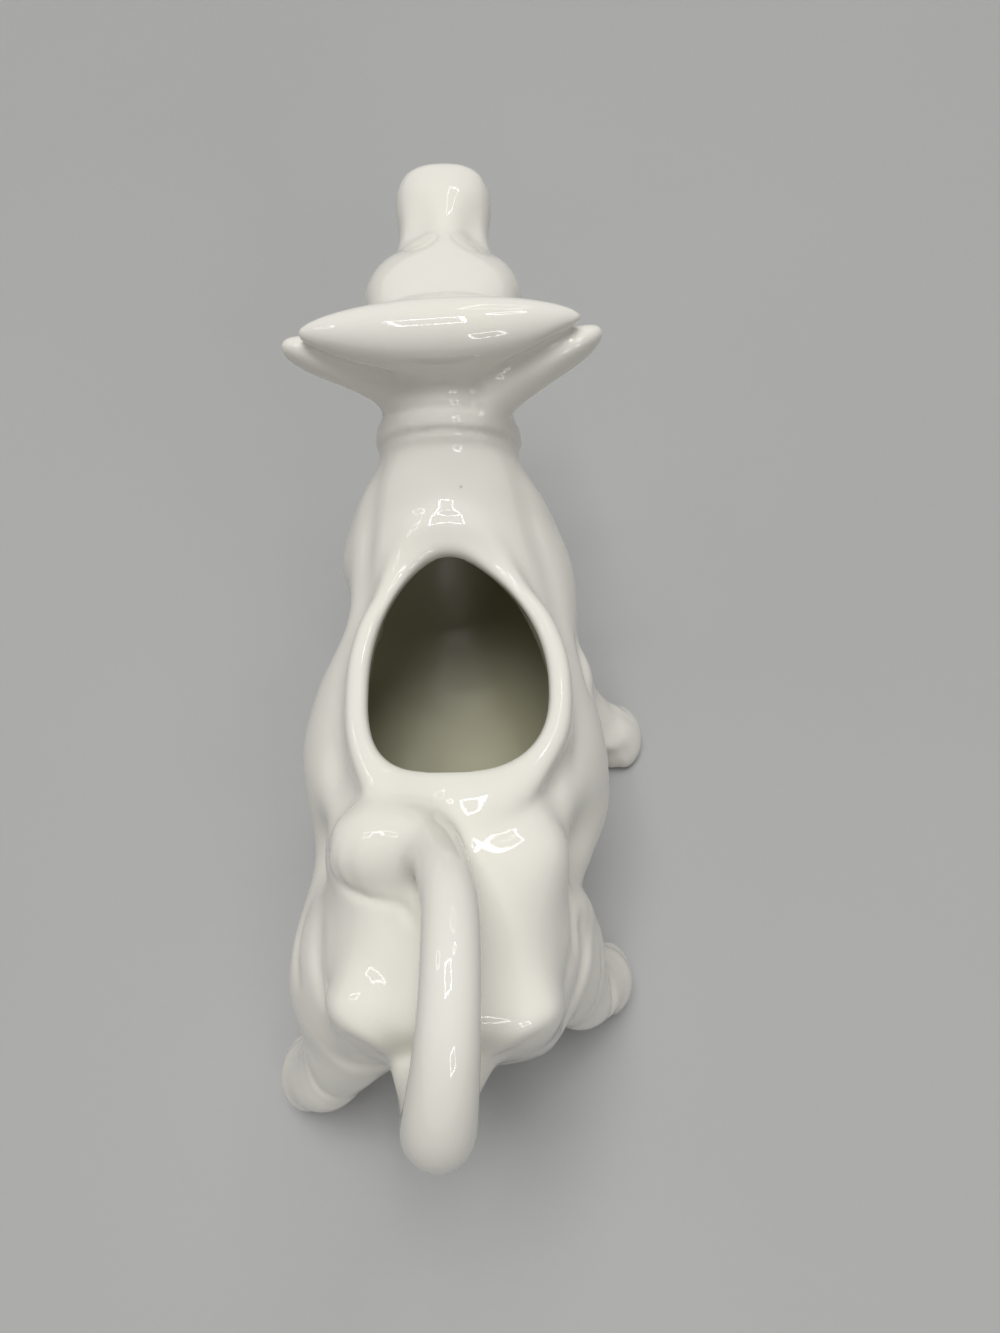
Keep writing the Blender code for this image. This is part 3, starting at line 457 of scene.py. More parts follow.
WHOLE_LENGTH = TAIL_OVERHANG + TRUNK_SHARES[-1][0] * TRUNK_LENGTH + HEAD_LENGTH
RUMP_Y = TAIL_OVERHANG - WHOLE_LENGTH / 2
SOLES = [row[2] for row in LEG_SHARES]
MIDPLANE_X = -(max(SOLES) + min(SOLES)) / 2 * TRUNK_WIDTH / 2
OPENING_REAR_Y = RUMP_Y + OPENING_SETBACK


def cow_rows():
    """All rings of the trunk and the head, rump first."""
    rows = []
    for back_y, back_z, belly_y, belly_z, half, widest, upper, lower in TRUNK_SHARES:
        rows.append((RUMP_Y + back_y * TRUNK_LENGTH, back_z * BACK_HEIGHT,
                     RUMP_Y + belly_y * TRUNK_LENGTH, belly_z * BACK_HEIGHT,
                     half * TRUNK_WIDTH / 2, widest, upper, lower))
    seam_y, seam_z = rows[-1][:2]
    for back_y, back_z, belly_y, belly_z, half, widest, upper, lower in HEAD_SHARES:
        rows.append((seam_y + back_y * HEAD_LENGTH, seam_z + back_z * HEAD_DEPTH,
                     seam_y + belly_y * HEAD_LENGTH, seam_z + belly_z * HEAD_DEPTH,
                     half * HEAD_WIDTH / 2, widest, upper, lower))
    return np.array(rows)


ROWS = cow_rows()
SEAM = len(TRUNK_SHARES) - 1
MUZZLE = len(ROWS) - 1
SEAM_Y, SEAM_Z = ROWS[SEAM][:2]


def relief_spots():
    """Centre, spread and height of every swelling, on both sides."""
    spots = []
    half = TRUNK_WIDTH / 2
    for across, along, up, spread, height in TRUNK_RELIEF_SHARES:
        spots.append((across * half, RUMP_Y + along * TRUNK_LENGTH, up * BACK_HEIGHT,
                      spread * half, height * half))
    half = HEAD_WIDTH / 2
    for across, along, up, spread, height in HEAD_RELIEF_SHARES:
        for side in (across, -across):
            spots.append((side * half, SEAM_Y + along * HEAD_LENGTH, SEAM_Z + up * HEAD_DEPTH,
                          spread * half, height * half))
    return spots


SPOTS = relief_spots()


def swelling(points):
    """How far the skin stands out at points because of the swellings and hollows."""
    total = np.zeros(points.shape[:-1])
    for x, y, z, spread, height in SPOTS:
        away = ((points - (x, y, z)) ** 2).sum(-1)
        total += height * np.exp(-away / spread**2)
    return total


def turned(points):
    """Points after the head's turn to the left, which grows from the seam to the poll."""
    arm = points[..., 1] - SEAM_Y
    share = np.clip(arm / (HEAD_LENGTH / 3), 0, 1)
    angle = HEAD_TURN * share * share * (3 - 2 * share)
    out = points.copy()
    out[..., 0] = points[..., 0] * np.cos(angle) - arm * np.sin(angle)
    out[..., 1] = SEAM_Y + arm * np.cos(angle) + points[..., 0] * np.sin(angle)
    return out


def cow_rings(places, angles, inset=0, shrink=1):
    """Rings of the cow's skin, one row of points for each place."""
    back_y, back_z, belly_y, belly_z, half, widest, upper, lower = (
        column[:, None] for column in spline_rows(ROWS, places).T)
    zero = np.zeros_like(back_y)
    back = np.stack([zero, back_y, back_z], -1)
    belly = np.stack([zero, belly_y, belly_z], -1)
    upright = back - belly
    height = np.linalg.norm(upright, axis=-1, keepdims=True)
    upright = upright / height
    middle = belly + upright * height * widest[..., None]
    across = np.cos(angles)[None, :]
    rise = np.sin(angles)[None, :]
    power = 2 / np.where(rise > 0, upper, lower)
    room = np.where(rise > 0, height[..., 0] * (1 - widest), height[..., 0] * widest)
    side = np.sign(across) * np.abs(across) ** power * half
    lift = np.sign(rise) * np.abs(rise) ** power * room
    offset = upright * lift[..., None]
    offset = offset + side[..., None] * np.array((1.0, 0, 0))
    skin = middle + offset
    outward = offset / np.linalg.norm(offset, axis=-1, keepdims=True)
    skin = skin + outward * (swelling(skin) - inset)[..., None]
    return turned(middle + (skin - middle) * np.asarray(shrink).reshape(-1, 1, 1))


def round_angles(corners):
    """Angles of the corners of a ring."""
    return 2 * np.pi * (np.arange(corners) + 0.5) / corners


def steps(first, last, spacing):
    """Even places from first to last, no further apart than the spacing."""
    return np.linspace(first, last, max(int(math.ceil(abs(last - first) / spacing)), 1) + 1)


def capped_loft(rings):
    """Points, quads and triangles of a closed skin over rings, with a fan at either end."""
    rows, count = rings.shape[:2]
    i, k = np.meshgrid(np.arange(rows - 1), np.arange(count), indexing="ij")
    after = (k + 1) % count
    quads = np.stack([i * count + k, i * count + after,
                      (i + 1) * count + after, (i + 1) * count + k], -1).reshape(-1, 4)
    points = np.vstack([rings.reshape(-1, 3), rings[0].mean(0), rings[-1].mean(0)])
    k = np.arange(count)
    after = (k + 1) % count
    first = np.full(count, rows * count)
    fans = [np.stack([first, after, k], -1),
            np.stack([first + 1, (rows - 1) * count + k, (rows - 1) * count + after], -1)]
    return points, quads, np.vstack(fans)


def ring_loft(sections):
    """Points and quads of a closed ring-shaped skin."""
    rows, count = sections.shape[:2]
    i, k = np.meshgrid(np.arange(rows), np.arange(count), indexing="ij")
    after = (k + 1) % count
    further = (i + 1) % rows
    quads = np.stack([i * count + k, i * count + after,
                      further * count + after, further * count + k], -1).reshape(-1, 4)
    return sections.reshape(-1, 3), quads, np.zeros((0, 3), int)


def tube_rings(centres, radii, corners=48, flatten=1.0):
    """Round sections along a path, each square to it."""
    centres = np.asarray(centres, float)
    ways = np.gradient(centres, axis=0)
    ways /= np.linalg.norm(ways, axis=1, keepdims=True)
    side = np.cross(ways[0], (0.3, 0.5, 0.8))
    rings = []
    angles = round_angles(corners)
    for centre, way, radius in zip(centres, ways, radii):
        side = side - way * side.dot(way)
        side /= np.linalg.norm(side)
        other = np.cross(way, side)
        rings.append(centre + radius * (np.cos(angles)[:, None] * side
                                        + flatten * np.sin(angles)[:, None] * other))
    return np.array(rings)


class Field:
    """Distances to a surface on a grid, negative inside."""

    def __init__(self):
        low, high = FIELD_CORNERS
        self.low = np.floor(np.asarray(low) / VOXEL).astype(int)
        self.shape = np.ceil(np.asarray(high) / VOXEL).astype(int) - self.low + 1
        self.values = np.full(self.shape, REACH, np.float32)

    def window(self, points):
        """The part of the grid that a form can change, and its first cell."""
        low = np.floor((points.min(0) - REACH) / VOXEL).astype(int)
        high = np.ceil((points.max(0) + REACH) / VOXEL).astype(int) + 1
        low = np.maximum(low, self.low)
        high = np.minimum(high, self.low + self.shape)
        start = low - self.low
        stop = high - self.low
        return tuple(slice(a, b) for a, b in zip(start, stop)), low, high - low

    def distances(self, form):
        """The distances to a closed form in its window of the grid."""
        points, quads, triangles = form
        place, first, shape = self.window(points)
        grid = openvdb.FloatGrid.createLevelSetFromPolygons(
            points.astype(np.float32), triangles=triangles.astype(np.uint32),
            quads=quads.astype(np.uint32),
            transform=openvdb.createLinearTransform(voxelSize=VOXEL),
            halfWidth=REACH / VOXEL)
        values = np.empty(shape, np.float32)
        grid.copyToArray(values, ijk=tuple(int(n) for n in first))
        return place, values

    def join(self, form, blend=0):
        """Add a form, with a fillet about as wide as the blend."""
        place, other = self.distances(form)
        self.values[place] = soft_lower(self.values[place], other, blend)

    def region(self, low, high):
        """The part of the grid between two corners."""
        first = np.clip(np.floor(np.asarray(low) / VOXEL).astype(int) - self.low, 0, self.shape)
        last = np.clip(np.ceil(np.asarray(high) / VOXEL).astype(int) - self.low, 0, self.shape)
        return tuple(slice(a, b) for a, b in zip(first, last))

    def grid_of(self, place):
        """Coordinates of the points of a part of the grid."""
        axes = [((np.arange(part.start, part.stop) + low) * VOXEL).astype(np.float32)
                for part, low in zip(place, self.low)]
        return np.meshgrid(*axes, indexing="ij")

    def soften(self, passes, values=None):
        """Round every edge and crease a little, as glaze does."""
        values = self.values if values is None else values
        for _ in range(passes):
            for axis in range(3):
                v = np.moveaxis(values, axis, 0)
                v[1:-1] = v[1:-1] * 0.5 + (v[:-2] + v[2:]) * 0.25

    def soften_near(self, passes, centre, reach):
        """Round edges and creases within reach of a place."""
        centre = np.asarray(centre)
        place = self.region(centre - 1.5 * reach, centre + 1.5 * reach)
        values = self.values[place].copy()
        self.soften(passes, values)
        x, y, z = self.grid_of(place)
        away = (x - centre[0]) ** 2 + (y - centre[1]) ** 2 + (z - centre[2]) ** 2
        share = np.exp(-(away / reach**2) ** 2)
        self.values[place] += share * (values - self.values[place])

    def press(self, line, width, depth):
        """Press a soft groove along a line, or raise a ridge where the depth is negative."""
        path = spline_rows(line, steps(0, len(line) - 1, LINE_ROW_STEP))
        place = self.region(path.min(0) - 2.5 * width, path.max(0) + 2.5 * width)
        x, y, z = self.grid_of(place)
        mark = np.zeros(x.shape, np.float32)
        for share, point in zip(np.linspace(0, 1, len(path)), path):
            away = (x - point[0]) ** 2 + (y - point[1]) ** 2 + (z - point[2]) ** 2
            fade = math.sqrt(math.sin(math.pi * (0.05 + 0.9 * share)))
            np.maximum(mark, fade * np.exp(-away / width**2), out=mark)
        self.values[place] += depth * mark

    def sample(self, points):
        """The distance at any points, by trilinear interpolation."""
        at = np.clip(points / VOXEL - self.low, 0, self.shape - 1.001)
        cell = np.floor(at).astype(int)
        t = at - cell
        total = np.zeros(len(points))
        for corner in range(8):
            bits = np.array(((corner >> 2) & 1, (corner >> 1) & 1, corner & 1))
            weight = np.prod(np.where(bits, t, 1 - t), axis=1)
            i, j, k = (cell + bits).T
            total += weight * self.values[i, j, k]
        return total

    def slope(self, points):
        """The direction in which the distance grows, as unit vectors."""
        ways = np.zeros_like(points)
        for axis in range(3):
            step = np.zeros(3)
            step[axis] = VOXEL
            ways[:, axis] = self.sample(points + step) - self.sample(points - step)
        return ways / np.maximum(np.linalg.norm(ways, axis=1, keepdims=True), 1e-9)


def soft_lower(a, b, blend):
    """The lower of two fields, with a smooth passage where they are nearly the same."""
    if blend <= 0:
        return np.minimum(a, b)
    near = np.maximum(blend - np.abs(a - b), 0) / blend
    return np.minimum(a, b) - near**3 * (np.float32(blend) / 6)


def opening_outline(count, spread=0, runout=0, lead=0):
    """The egg-shaped outline of the filler, blunt at the rear and pointed to the head."""
    rear_reach = OPENING_LENGTH * OPENING_WIDEST_SHARE
    widest_y = OPENING_REAR_Y + rear_reach
    angle = 2 * np.pi * np.arange(count) / count
    forward = np.sin(angle)
    across = np.cos(angle)
    ahead = forward > 0
    reach = np.where(ahead, OPENING_LENGTH - rear_reach + spread + lead,
                     rear_reach + spread * (1 + runout * forward**2))
    x = np.where(ahead, across * (1 - OPENING_POINT_SHARE * forward**2),
                 np.sign(across) * np.abs(across) ** OPENING_SQUARE_SHARE)
    y = np.where(ahead, forward, -np.abs(forward) ** OPENING_SQUARE_SHARE)
    return np.stack([x * (OPENING_WIDTH / 2 + spread) + OPENING_SKEW * across**2,
                     widest_y + y * reach], -1)


def lip_form():
    """The rolled lip round the filler."""
    count = OUTLINE_CORNERS
    inner = opening_outline(count, -RIM_OVERLAP)
    edge = opening_outline(count)
    outer = opening_outline(count, 2 * RIM_RADIUS, RIM_RUNOUT_SHARE)
    skirt = opening_outline(count, SKIRT_REACH_SHARE * RIM_RADIUS, RIM_RUNOUT_SHARE)
    top = BACK_HEIGHT + RIM_RISE

    def at(outline, height):
        return np.column_stack([outline, np.full(count, height)])

    columns = [at(inner, top - SKIRT_DEPTH), at(inner, top - RIM_RADIUS)]
    for share in np.linspace(0, 1, 17):
        swing = math.pi * share
        between = edge + (outer - edge) * (1 - math.cos(swing)) / 2
        columns.append(at(between, top - RIM_RADIUS * (1 - math.sin(swing))))
    columns.append(at(skirt, top - SKIRT_DEPTH))
    return ring_loft(np.stack(columns, 1))


def collar_form():
    """The rounded band over the neck seam."""
    angles = round_angles(RING_CORNERS)
    pace = np.linalg.norm(cow_rings([SEAM + 0.1], angles) - cow_rings([SEAM - 0.1], angles),
                          axis=-1)[0] / 0.2
    half = COLLAR_WIDTH / 2 / pace
    columns = []
    inside = [(side, 1.0) for side in np.linspace(-1, 1, 9)]
    outside = [(side, -COLLAR_RISE * (0.3 + 0.7 * math.sqrt(1 - side * side)))
               for side in np.linspace(1, -1, 15)]
    for side, inset in inside + outside:
        column = [cow_rings([SEAM + side * h], np.array([a]), inset)[0, 0]
                  for a, h in zip(angles, half)]
        columns.append(np.array(column))
    return ring_loft(np.stack(columns, 1))


def horns_form():
    """Both horns, one spindle that lies across the poll."""
    side = np.linspace(-1, 1, 121)
    taper = 1 - HORN_TAPER_SHARE * np.abs(side) ** HORN_TAPER_POWER
    end = np.sqrt(np.maximum(1 - np.abs(side) ** HORN_END_POWER, TIP_REST))
    centres = np.stack([side * HORN_SPAN / 2,
                        SEAM_Y + HORN_SETBACK + HORN_SWEEP * side**2
                        + side * math.tan(HORN_SKEW) * HORN_SPAN / 2,
                        SEAM_Z + HORN_UP_SHARE * HEAD_DEPTH + HORN_LIFT * side**2], -1)
    return capped_loft(tube_rings(turned(centres), HORN_RADIUS * taper * end))


def ear_form(side, setback):
    """A cupped leaf-shaped ear under the horn, its root along the neck."""
    root = np.array((EAR_ROOT_ACROSS_SHARE * HEAD_WIDTH, SEAM_Y + setback,
                     SEAM_Z + EAR_ROOT_UP_SHARE * HEAD_DEPTH))
    tip = np.array((EAR_REACH, SEAM_Y + EAR_SETBACK + EAR_SWEEP,
                    SEAM_Z + EAR_TIP_UP_SHARE * HEAD_DEPTH))
    axis = (tip - root) / np.linalg.norm(tip - root)
    out_way = np.cross(axis, EAR_LEAN)
    out_way /= np.linalg.norm(out_way)
    angles = round_angles(64)
    rings = []
    for quarter in np.linspace(0, 1, 41):
        along = math.sin(quarter * math.pi / 2)
        bulge = math.sqrt(max(1 - along**EAR_END_POWER, TIP_REST))
        half = EAR_WIDTH / 2 * (EAR_ROOT_WIDTH_SHARE - EAR_WIDTH_TAPER_SHARE * along) * bulge
        thick = (EAR_THICKNESS / 2
                 * (EAR_ROOT_THICKNESS_SHARE - EAR_THICKNESS_TAPER_SHARE * along) * bulge)
        centre = root + (tip - root) * along
        span = np.cos(angles)[:, None]
        cup = EAR_CUP_SHARE * EAR_THICKNESS * bulge * (1 - span * span)
        ring = centre + EAR_LEAN * span * half + out_way * (np.sin(angles)[:, None] * thick + cup)
        ring[:, 0] *= side
        ring[:, 1] += (ring[:, 0] - root[0] * side) * math.tan(HORN_SKEW)
        rings.append(ring)
    return capped_loft(turned(np.array(rings)))


def collar_creases():
    """Lines round the neck along both edges of the collar and one across it."""
    angles = np.linspace(-0.25, 1.25, 40) * math.pi
    half = COLLAR_WIDTH / 2 / SEAM_RING_SPACING
    for side, depth in COLLAR_CREASES:
        yield CREASE_WIDTH, depth, cow_rings([SEAM + side * half], angles, -CREASE_LIFT)[0]


def leg_form(rows, sole_across, sole_along, hip_across, hip_along):
    """One leg, level rings from the flat sole to inside the trunk, with a cloven hoof."""
    foot = np.array((sole_across * TRUNK_WIDTH / 2, RUMP_Y + sole_along * TRUNK_LENGTH))
    hip = np.array((hip_across * TRUNK_WIDTH / 2, RUMP_Y + hip_along * TRUNK_LENGTH))
    angles = round_angles(90)
    rings = []
    places = steps(0, len(rows) - 1, LEG_ROW_STEP)
    for up, share, bend, half, length in spline_rows(rows, places):
        x, y = foot + (hip - foot) * share + (0, bend * LEG_HEIGHT)
        cleft = CLEFT_SHARE * max(1 - up / CLEFT_TOP_SHARE, 0)
        dent = 1 - cleft * (np.exp(-((angles - np.pi / 2) / CLEFT_WIDTH) ** 2)
                            + np.exp(-((angles - 1.5 * np.pi) / CLEFT_WIDTH) ** 2))
        rings.append(np.stack([x + np.cos(angles) * half * HOOF_WIDTH / 2 * dent,
                               y + np.sin(angles) * length * HOOF_LENGTH / 2 * dent,
                               np.full(len(angles), max(up, 0) * LEG_HEIGHT)], -1))
    return capped_loft(np.array(rings))


def tail_form():
    """The tail, arched over the rump as the handle."""
    rear = RUMP_Y - TAIL_OVERHANG + TAIL_BEND_SHARE * TAIL_RADIUS
    front = RUMP_Y + TUFT_PLACE_SHARE * TRUNK_LENGTH
    arch = TAIL_RISE - TAIL_RADIUS
    rows = [(across * TAIL_RADIUS, rear + along * (front - rear),
             back * BACK_HEIGHT + rise * arch, thick * TAIL_RADIUS)
            for across, along, back, rise, thick in TAIL_SHARES]
    line = spline_rows(rows, steps(0, len(rows) - 1, TAIL_ROW_STEP))
    return capped_loft(tube_rings(line[:, :3], line[:, 3]))


def tuft_form():
    """The tuft of the tail, a thick roll over the left hip."""
    front = RUMP_Y + TUFT_PLACE_SHARE * TRUNK_LENGTH
    rows = [(across * TUFT_WIDTH, front + along * TUFT_WIDTH, BACK_HEIGHT + up * TUFT_WIDTH,
             thick * TUFT_WIDTH) for across, along, up, thick in TUFT_SHARES]
    line = spline_rows(rows, steps(0, len(rows) - 1, TAIL_ROW_STEP))
    return capped_loft(tube_rings(line[:, :3], line[:, 3]))


def hollow_form():
    """The hollow of trunk, neck and head, one wall inside the skin, out through the mouth."""
    angles = round_angles(RING_CORNERS)
    cap_places, cap_shares = zip(*HOLLOW_CAP)
    middle = steps(HOLLOW_START, MUZZLE - HOLLOW_STOP, HOLLOW_ROW_STEP)
    places = np.concatenate([cap_places, middle])
    shrink = np.concatenate([cap_shares, np.ones(len(middle))])
    rings = cow_rings(places, angles, WALL, shrink)
    tip = ROWS[MUZZLE]
    mouth_z = SEAM_Z - MOUTH_DROP_SHARE * HEAD_DEPTH
    ends = []
    for y in np.linspace(tip[0] - MOUTH_DEPTH_SHARE * HEAD_LENGTH, tip[0] + MOUTH_OVERRUN, 12):
        ends.append(np.stack([np.cos(angles) * MOUTH_WIDTH / 2, np.full(len(angles), y),
                              mouth_z + np.sin(angles) * MOUTH_HEIGHT / 2], -1))
    return capped_loft(np.concatenate([rings, turned(np.array(ends))]))


def opening_form():
    """The plug that cuts the filler through the back, its front rounded over."""
    count = OUTLINE_CORNERS
    edge = BACK_HEIGHT + RIM_RISE - 1
    brink = BACK_HEIGHT * OPENING_BRINK_SHARE
    radius = OPENING_BRINK_RADIUS
    levels = [(z, 1) for z in np.linspace(BACK_HEIGHT * OPENING_BOTTOM_SHARE, brink, 30)[:-1]]
    levels += [(brink + radius * math.sin(turn), 1 + radius * (1 - math.cos(turn)))
               for turn in np.linspace(0, math.pi / 2, 16)]
    levels += [(brink + radius + 5, 1 + radius)]
    rings = []
    for z, lead in levels:
        undercut = min(UNDERCUT_SLOPE * max(edge - z, 0), UNDERCUT_LIMIT)
        outline = opening_outline(count, undercut, 0, lead)
        rings.append(np.column_stack([outline, np.full(count, z)]))
    return capped_loft(np.array(rings))


def solid_field():
    """All forms joined, softened and carved, not yet hollow."""
    field = Field()
    field.join(capped_loft(cow_rings(steps(0, MUZZLE, SKIN_ROW_STEP),
                                     round_angles(SKIN_CORNERS))))
    field.join(lip_form(), LIP_BLEND)
    field.join(collar_form(), COLLAR_BLEND)
    field.join(horns_form(), HORN_BLEND)
    field.join(ear_form(1, EAR_SETBACK), EAR_BLEND)
    field.join(ear_form(-1, EAR_SETBACK + EAR_LEAD), EAR_BLEND)
    for _, *row in LEG_SHARES:
        field.join(leg_form(*row), LEG_BLEND)
    field.join(tuft_form(), TUFT_BLEND)
    field.join(tail_form(), TAIL_BLEND)
    field.soften(2)
    for passes, centre, reach in SOFT_PLACES:
        field.soften_near(passes, centre, reach)
    for width, depth, line in (*STROKES, *collar_creases()):
        field.press(line, width, depth)
    return field


def shape_fields():
    """The field of the whole hollow jug, and that of the space inside below the lip."""
    field = solid_field()
    hollow = Field()
    hollow.join(hollow_form())
    plug = Field()
    plug.join(opening_form())
    # the space inside the jug below the lip, which says where the painted shade of the hollow
    # lies
    inside = Field()
    heights = (np.arange(plug.shape[2]) + plug.low[2]) * VOXEL
    sunk = heights - (BACK_HEIGHT + RIM_RISE - RIM_RADIUS - SHADE_SINK)
    inside.values = np.minimum(hollow.values, np.maximum(plug.values, sunk)).astype(np.float32)
    hollow.values = soft_lower(hollow.values, plug.values, HOLLOW_BLEND)
    field.values = -soft_lower(-field.values, hollow.values, EDGE_BLEND)
    field.soften(1)
    return field, inside


def skin_of(field):
    """Points, quads and normals of the surface, moved on to the field's zero."""
    count = np.ceil(field.shape * VOXEL / SKIN_STEP).astype(int)
    axes = [field.low[a] * VOXEL + np.arange(count[a]) * SKIN_STEP for a in range(3)]
    grid_points = np.stack(np.meshgrid(*axes, indexing="ij"), -1).reshape(-1, 3)
    values = field.sample(grid_points).astype(np.float32).reshape(count)
    grid = openvdb.FloatGrid(REACH)
    grid.copyFromArray(values)
    points, quads = grid.convertToQuads(0.0)
    points = points.astype(float) * SKIN_STEP + field.low * VOXEL
    for _ in range(SKIN_CORRECTIONS):
        away = field.slope(points) * field.sample(points)[:, None]
        points -= away.clip(-CORRECTION_LIMIT, CORRECTION_LIMIT)
    return points, quads, field.slope(points)


def build_skin():
    """The whole glazed surface as one mesh."""
    field, inside = shape_fields()
    points, quads, normals = skin_of(field)
    # how deep each point lies in the hollow: the mask of the painted shade there and of the
    # rougher gloss inside
    depth = np.clip((SHADE_START - inside.sample(points)) / SHADE_PASSAGE, 0, 1)
    points[:, 0] += MIDPLANE_X
    points *= 0.001
    mesh = bpy.data.meshes.new("glazed_skin")
    mesh.vertices.add(len(points))
    mesh.vertices.foreach_set("co", points.astype(np.float32).ravel())
    mesh.loops.add(quads.size)
    mesh.loops.foreach_set("vertex_index", quads.astype(np.int32).ravel())
    mesh.polygons.add(len(quads))
    mesh.polygons.foreach_set("loop_start", np.arange(len(quads), dtype=np.int32) * 4)
    mesh.update(calc_edges=True)
    mesh.validate()
    mesh.shade_smooth()
    mesh.normals_split_custom_set_from_vertices(normals.tolist())
    layer = mesh.attributes.new("inside", "FLOAT", "POINT")
    layer.data.foreach_set("value", depth.astype(np.float32))
    thing = bpy.data.objects.new("glazed_skin", mesh)
    bpy.context.scene.collection.objects.link(thing)
    return thing


def shader_of(name):
    """A new material and what is needed to wire it."""
    material = bpy.data.materials.new(name)
    material.use_nodes = True
    tree = material.node_tree

    def node(kind, **values):
        made = tree.nodes.new(kind)
        for key, value in values.items():
            if key in made.inputs:
                made.inputs[key].default_value = value
            else:
                setattr(made, key, value)
        return made

    return material, tree.nodes["Principled BSDF"], node, tree.links.new


def noise_on(node, link, place, scale, detail):
    """Soft noise over the object's own coordinates."""
    noise = node("ShaderNodeTexNoise", Scale=scale, Detail=detail)
    link(place.outputs["Object"], noise.inputs["Vector"])
    return noise


def span_of(node, link, source, low, high):
    """A value brought from about the middle half of noise to a span."""
    span = node("ShaderNodeMapRange")
    span.inputs["From Min"].default_value = 0.3
    span.inputs["From Max"].default_value = 0.7
    span.inputs["To Min"].default_value = low
    span.inputs["To Max"].default_value = high
    link(source, span.inputs["Value"])
    return span.outputs["Result"]


def mix_of(node, link, factor, first, second):
    """A blend of two colours, each a value or an output."""
    mix = node("ShaderNodeMix", data_type="RGBA")
    link(factor, mix.inputs["Factor"])
    colour_a, colour_b = mix.inputs[6:8]
    for socket, colour in ((colour_a, first), (colour_b, second)):
        if isinstance(colour, tuple):
            socket.default_value = (*colour, 1)
        else:
            link(colour, socket)
    return mix.outputs[2]


def bump_of(node, link, height, strength, distance):
    """A bump, so many metres high where the height given is one."""
    bump = node("ShaderNodeBump", Strength=strength, Distance=distance)
    link(height, bump.inputs["Height"])
    return bump


def specks_on(node, link, place):
    """Where the few iron specks lie: near the middles of one cell in five."""
    cells = node("ShaderNodeTexVoronoi", Scale=SPECK_CELLS)
    link(place.outputs["Object"], cells.inputs["Vector"])
    speck = node("ShaderNodeMapRange")
    speck.inputs["From Min"].default_value, speck.inputs["From Max"].default_value = SPECK_RADII
    link(cells.outputs["Distance"], speck.inputs["Value"])
    chance = node("ShaderNodeSeparateColor")
    link(cells.outputs["Color"], chance.inputs["Color"])
    rare = node("ShaderNodeMath", operation="GREATER_THAN")
    rare.inputs[1].default_value = SPECK_FREE_SHARE
    link(chance.outputs["Red"], rare.inputs[0])
    dot = node("ShaderNodeMath", operation="MULTIPLY")
    link(speck.outputs["Result"], dot.inputs[0])
    link(rare.outputs[0], dot.inputs[1])
    faint = node("ShaderNodeMath", operation="MULTIPLY")
    faint.inputs[1].default_value = SPECK_STRENGTH
    link(dot.outputs[0], faint.inputs[0])
    return faint.outputs[0]


def porcelain():
    """Warm white glaze, a little uneven, with a few iron specks, painted shade inside the hollow
    and a rougher gloss there.
    """
    material, shader, node, link = shader_of("white_glaze")
    place = node("ShaderNodeTexCoord")
    drift = noise_on(node, link, place, scale=35, detail=3)
    tone = mix_of(node, link, span_of(node, link, drift.outputs["Fac"], 0, 1),
                  GLAZE_WARM, GLAZE_COOL)
    tone = mix_of(node, link, specks_on(node, link, place), tone, SPECK_COLOUR)
    # painted shade: the darker olive colour stands in for the shade deep in the hollow
    within = node("ShaderNodeAttribute", attribute_name="inside")
    tone = mix_of(node, link, within.outputs["Fac"], tone, HOLLOW_SHADE_COLOUR)
    link(tone, shader.inputs["Base Color"])
    rough = node("ShaderNodeMath", operation="MULTIPLY_ADD")
    rough.inputs[1].default_value = HOLLOW_ROUGHNESS
    link(within.outputs["Fac"], rough.inputs[0])
    link(span_of(node, link, drift.outputs["Fac"], *GLAZE_ROUGHNESS), rough.inputs[2])
    link(rough.outputs[0], shader.inputs["Roughness"])
    waves = noise_on(node, link, place, scale=110, detail=1)
    first = bump_of(node, link, waves.outputs["Fac"], 1.0, WAVE_HEIGHT)
    pores = noise_on(node, link, place, scale=900, detail=2)
    second = bump_of(node, link, pores.outputs["Fac"], 1.0, PORE_HEIGHT)
    link(first.outputs["Normal"], second.inputs["Normal"])
    link(second.outputs["Normal"], shader.inputs["Normal"])
    shader.inputs["IOR"].default_value = GLAZE_IOR
    return material


def floor_surface():
    """A plain pale grey surface, faintly uneven."""
    material, shader, node, link = shader_of("pale_floor")
    place = node("ShaderNodeTexCoord")
    drift = noise_on(node, link, place, scale=3, detail=4)
    tone = mix_of(node, link, span_of(node, link, drift.outputs["Fac"], 0, 1),
                  FLOOR_DARK, FLOOR_LIGHT)
    link(tone, shader.inputs["Base Color"])
    grain = noise_on(node, link, place, scale=700, detail=3)
    link(span_of(node, link, grain.outputs["Fac"], *FLOOR_ROUGHNESS),
         shader.inputs["Roughness"])
    bump = bump_of(node, link, grain.outputs["Fac"], 0.4, FLOOR_GRAIN_HEIGHT)
    link(bump.outputs["Normal"], shader.inputs["Normal"])
    return material


def build_floor():
    """A plain pale floor."""
    bpy.ops.mesh.primitive_plane_add(size=FLOOR_SIZE, location=(0, 0, 0))
    floor = bpy.context.object
    floor.name = "floor"
    floor.data.materials.append(floor_surface())


def build_camera():
    """The camera at the photograph's angle, above and behind the cow."""
    data = bpy.data.cameras.new("camera")
    data.sensor_fit = "VERTICAL"
    data.sensor_height = SENSOR_HEIGHT
    data.lens = FOCAL_PIXELS / PICTURE_HEIGHT * SENSOR_HEIGHT
    data.clip_start = 0.01
    camera = bpy.data.objects.new("camera", data)
    bpy.context.scene.collection.objects.link(camera)
    x, y, z = CAMERA_PLACE
    stand = Matrix.Translation((x + MIDPLANE_X * 0.001, y, z))
    for axis, degrees in CAMERA_TURNS:
        stand = stand @ Matrix.Rotation(math.radians(degrees), 4, axis)
    camera.matrix_world = stand @ Matrix(LEVEL_LOOK)
    bpy.context.scene.camera = camera


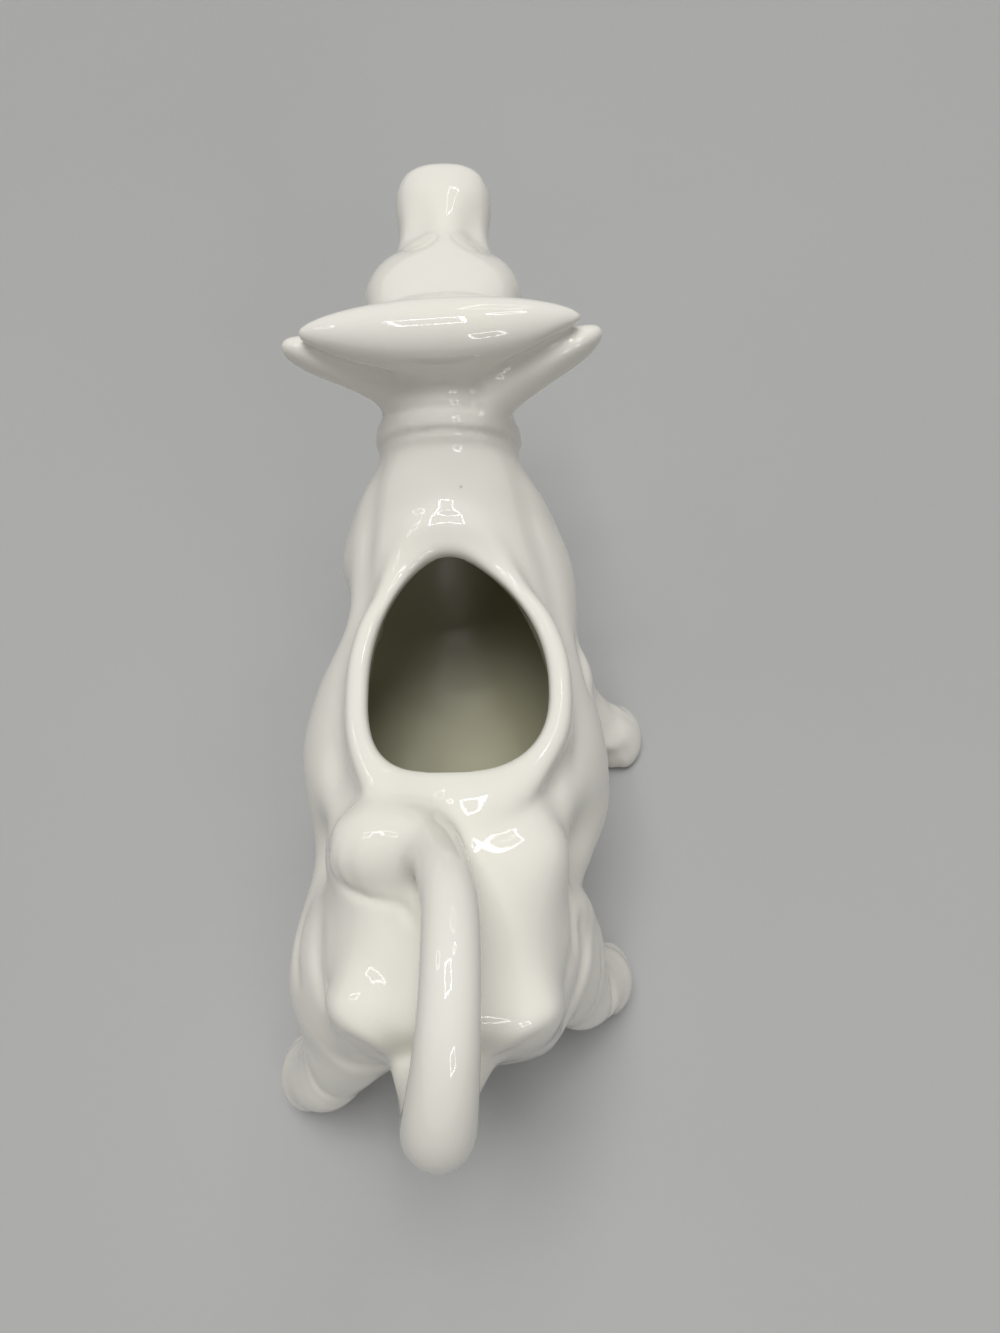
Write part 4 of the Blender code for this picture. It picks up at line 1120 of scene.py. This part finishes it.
def pane(name, place, width, height, power):
    """Four thin lamps round a rectangle, for a highlight shaped as a window."""
    turn = (Vector(PANE_AIM) - Vector(place)).to_track_quat("-Z", "Y")
    for number, (across, up, wide, tall) in enumerate((
            (0, height / 2, width, PANE_BAR), (0, -height / 2, width, PANE_BAR),
            (width / 2, 0, PANE_BAR, height), (-width / 2, 0, PANE_BAR, height))):
        data = bpy.data.lights.new("%s_%d" % (name, number), "AREA")
        data.shape = "RECTANGLE"
        data.size, data.size_y = wide, tall
        data.energy = power / 4
        bar = bpy.data.objects.new(data.name, data)
        bpy.context.scene.collection.objects.link(bar)
        bar.location = Vector(place) + turn @ Vector((across, up, 0))
        bar.rotation_euler = turn.to_euler()


def build_world():
    """Even light from all round, and a paler surround where it is seen or mirrored."""
    world = bpy.data.worlds.new("studio")
    bpy.context.scene.world = world
    world.use_nodes = True
    tree = world.node_tree
    rays = tree.nodes.new("ShaderNodeLightPath")
    strength = tree.nodes.new("ShaderNodeValue").outputs[0]
    strength.default_value = WORLD_STRENGTH
    for name in ("Is Camera Ray", "Is Glossy Ray", "Is Transmission Ray"):
        more = tree.nodes.new("ShaderNodeMath")
        more.operation = "MULTIPLY_ADD"
        more.inputs[1].default_value = WORLD_SEEN_MORE
        tree.links.new(rays.outputs[name], more.inputs[0])
        tree.links.new(strength, more.inputs[2])
        strength = more.outputs[0]
    tree.nodes["Background"].inputs["Color"].default_value = (1, 1, 1, 1)
    tree.links.new(strength, tree.nodes["Background"].inputs["Strength"])


def build_lamps():
    """One soft lamp from above and the panes that the glaze mirrors."""
    data = bpy.data.lights.new("soft_light", "SUN")
    data.energy = SOFT_LIGHT_ENERGY
    data.angle = SOFT_LIGHT_ANGLE
    soft = bpy.data.objects.new("soft_light", data)
    bpy.context.scene.collection.objects.link(soft)
    soft.rotation_euler = Vector(SOFT_LIGHT_WAY).to_track_quat("-Z", "Y").to_euler()
    soft.visible_glossy = False
    for row in PANES:
        pane(*row)


skin = build_skin()
skin.data.materials.append(porcelain())
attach(skin, "root")
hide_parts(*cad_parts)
build_floor()
build_camera()
build_world()
build_lamps()
bpy.context.scene.view_settings.view_transform = "Standard"
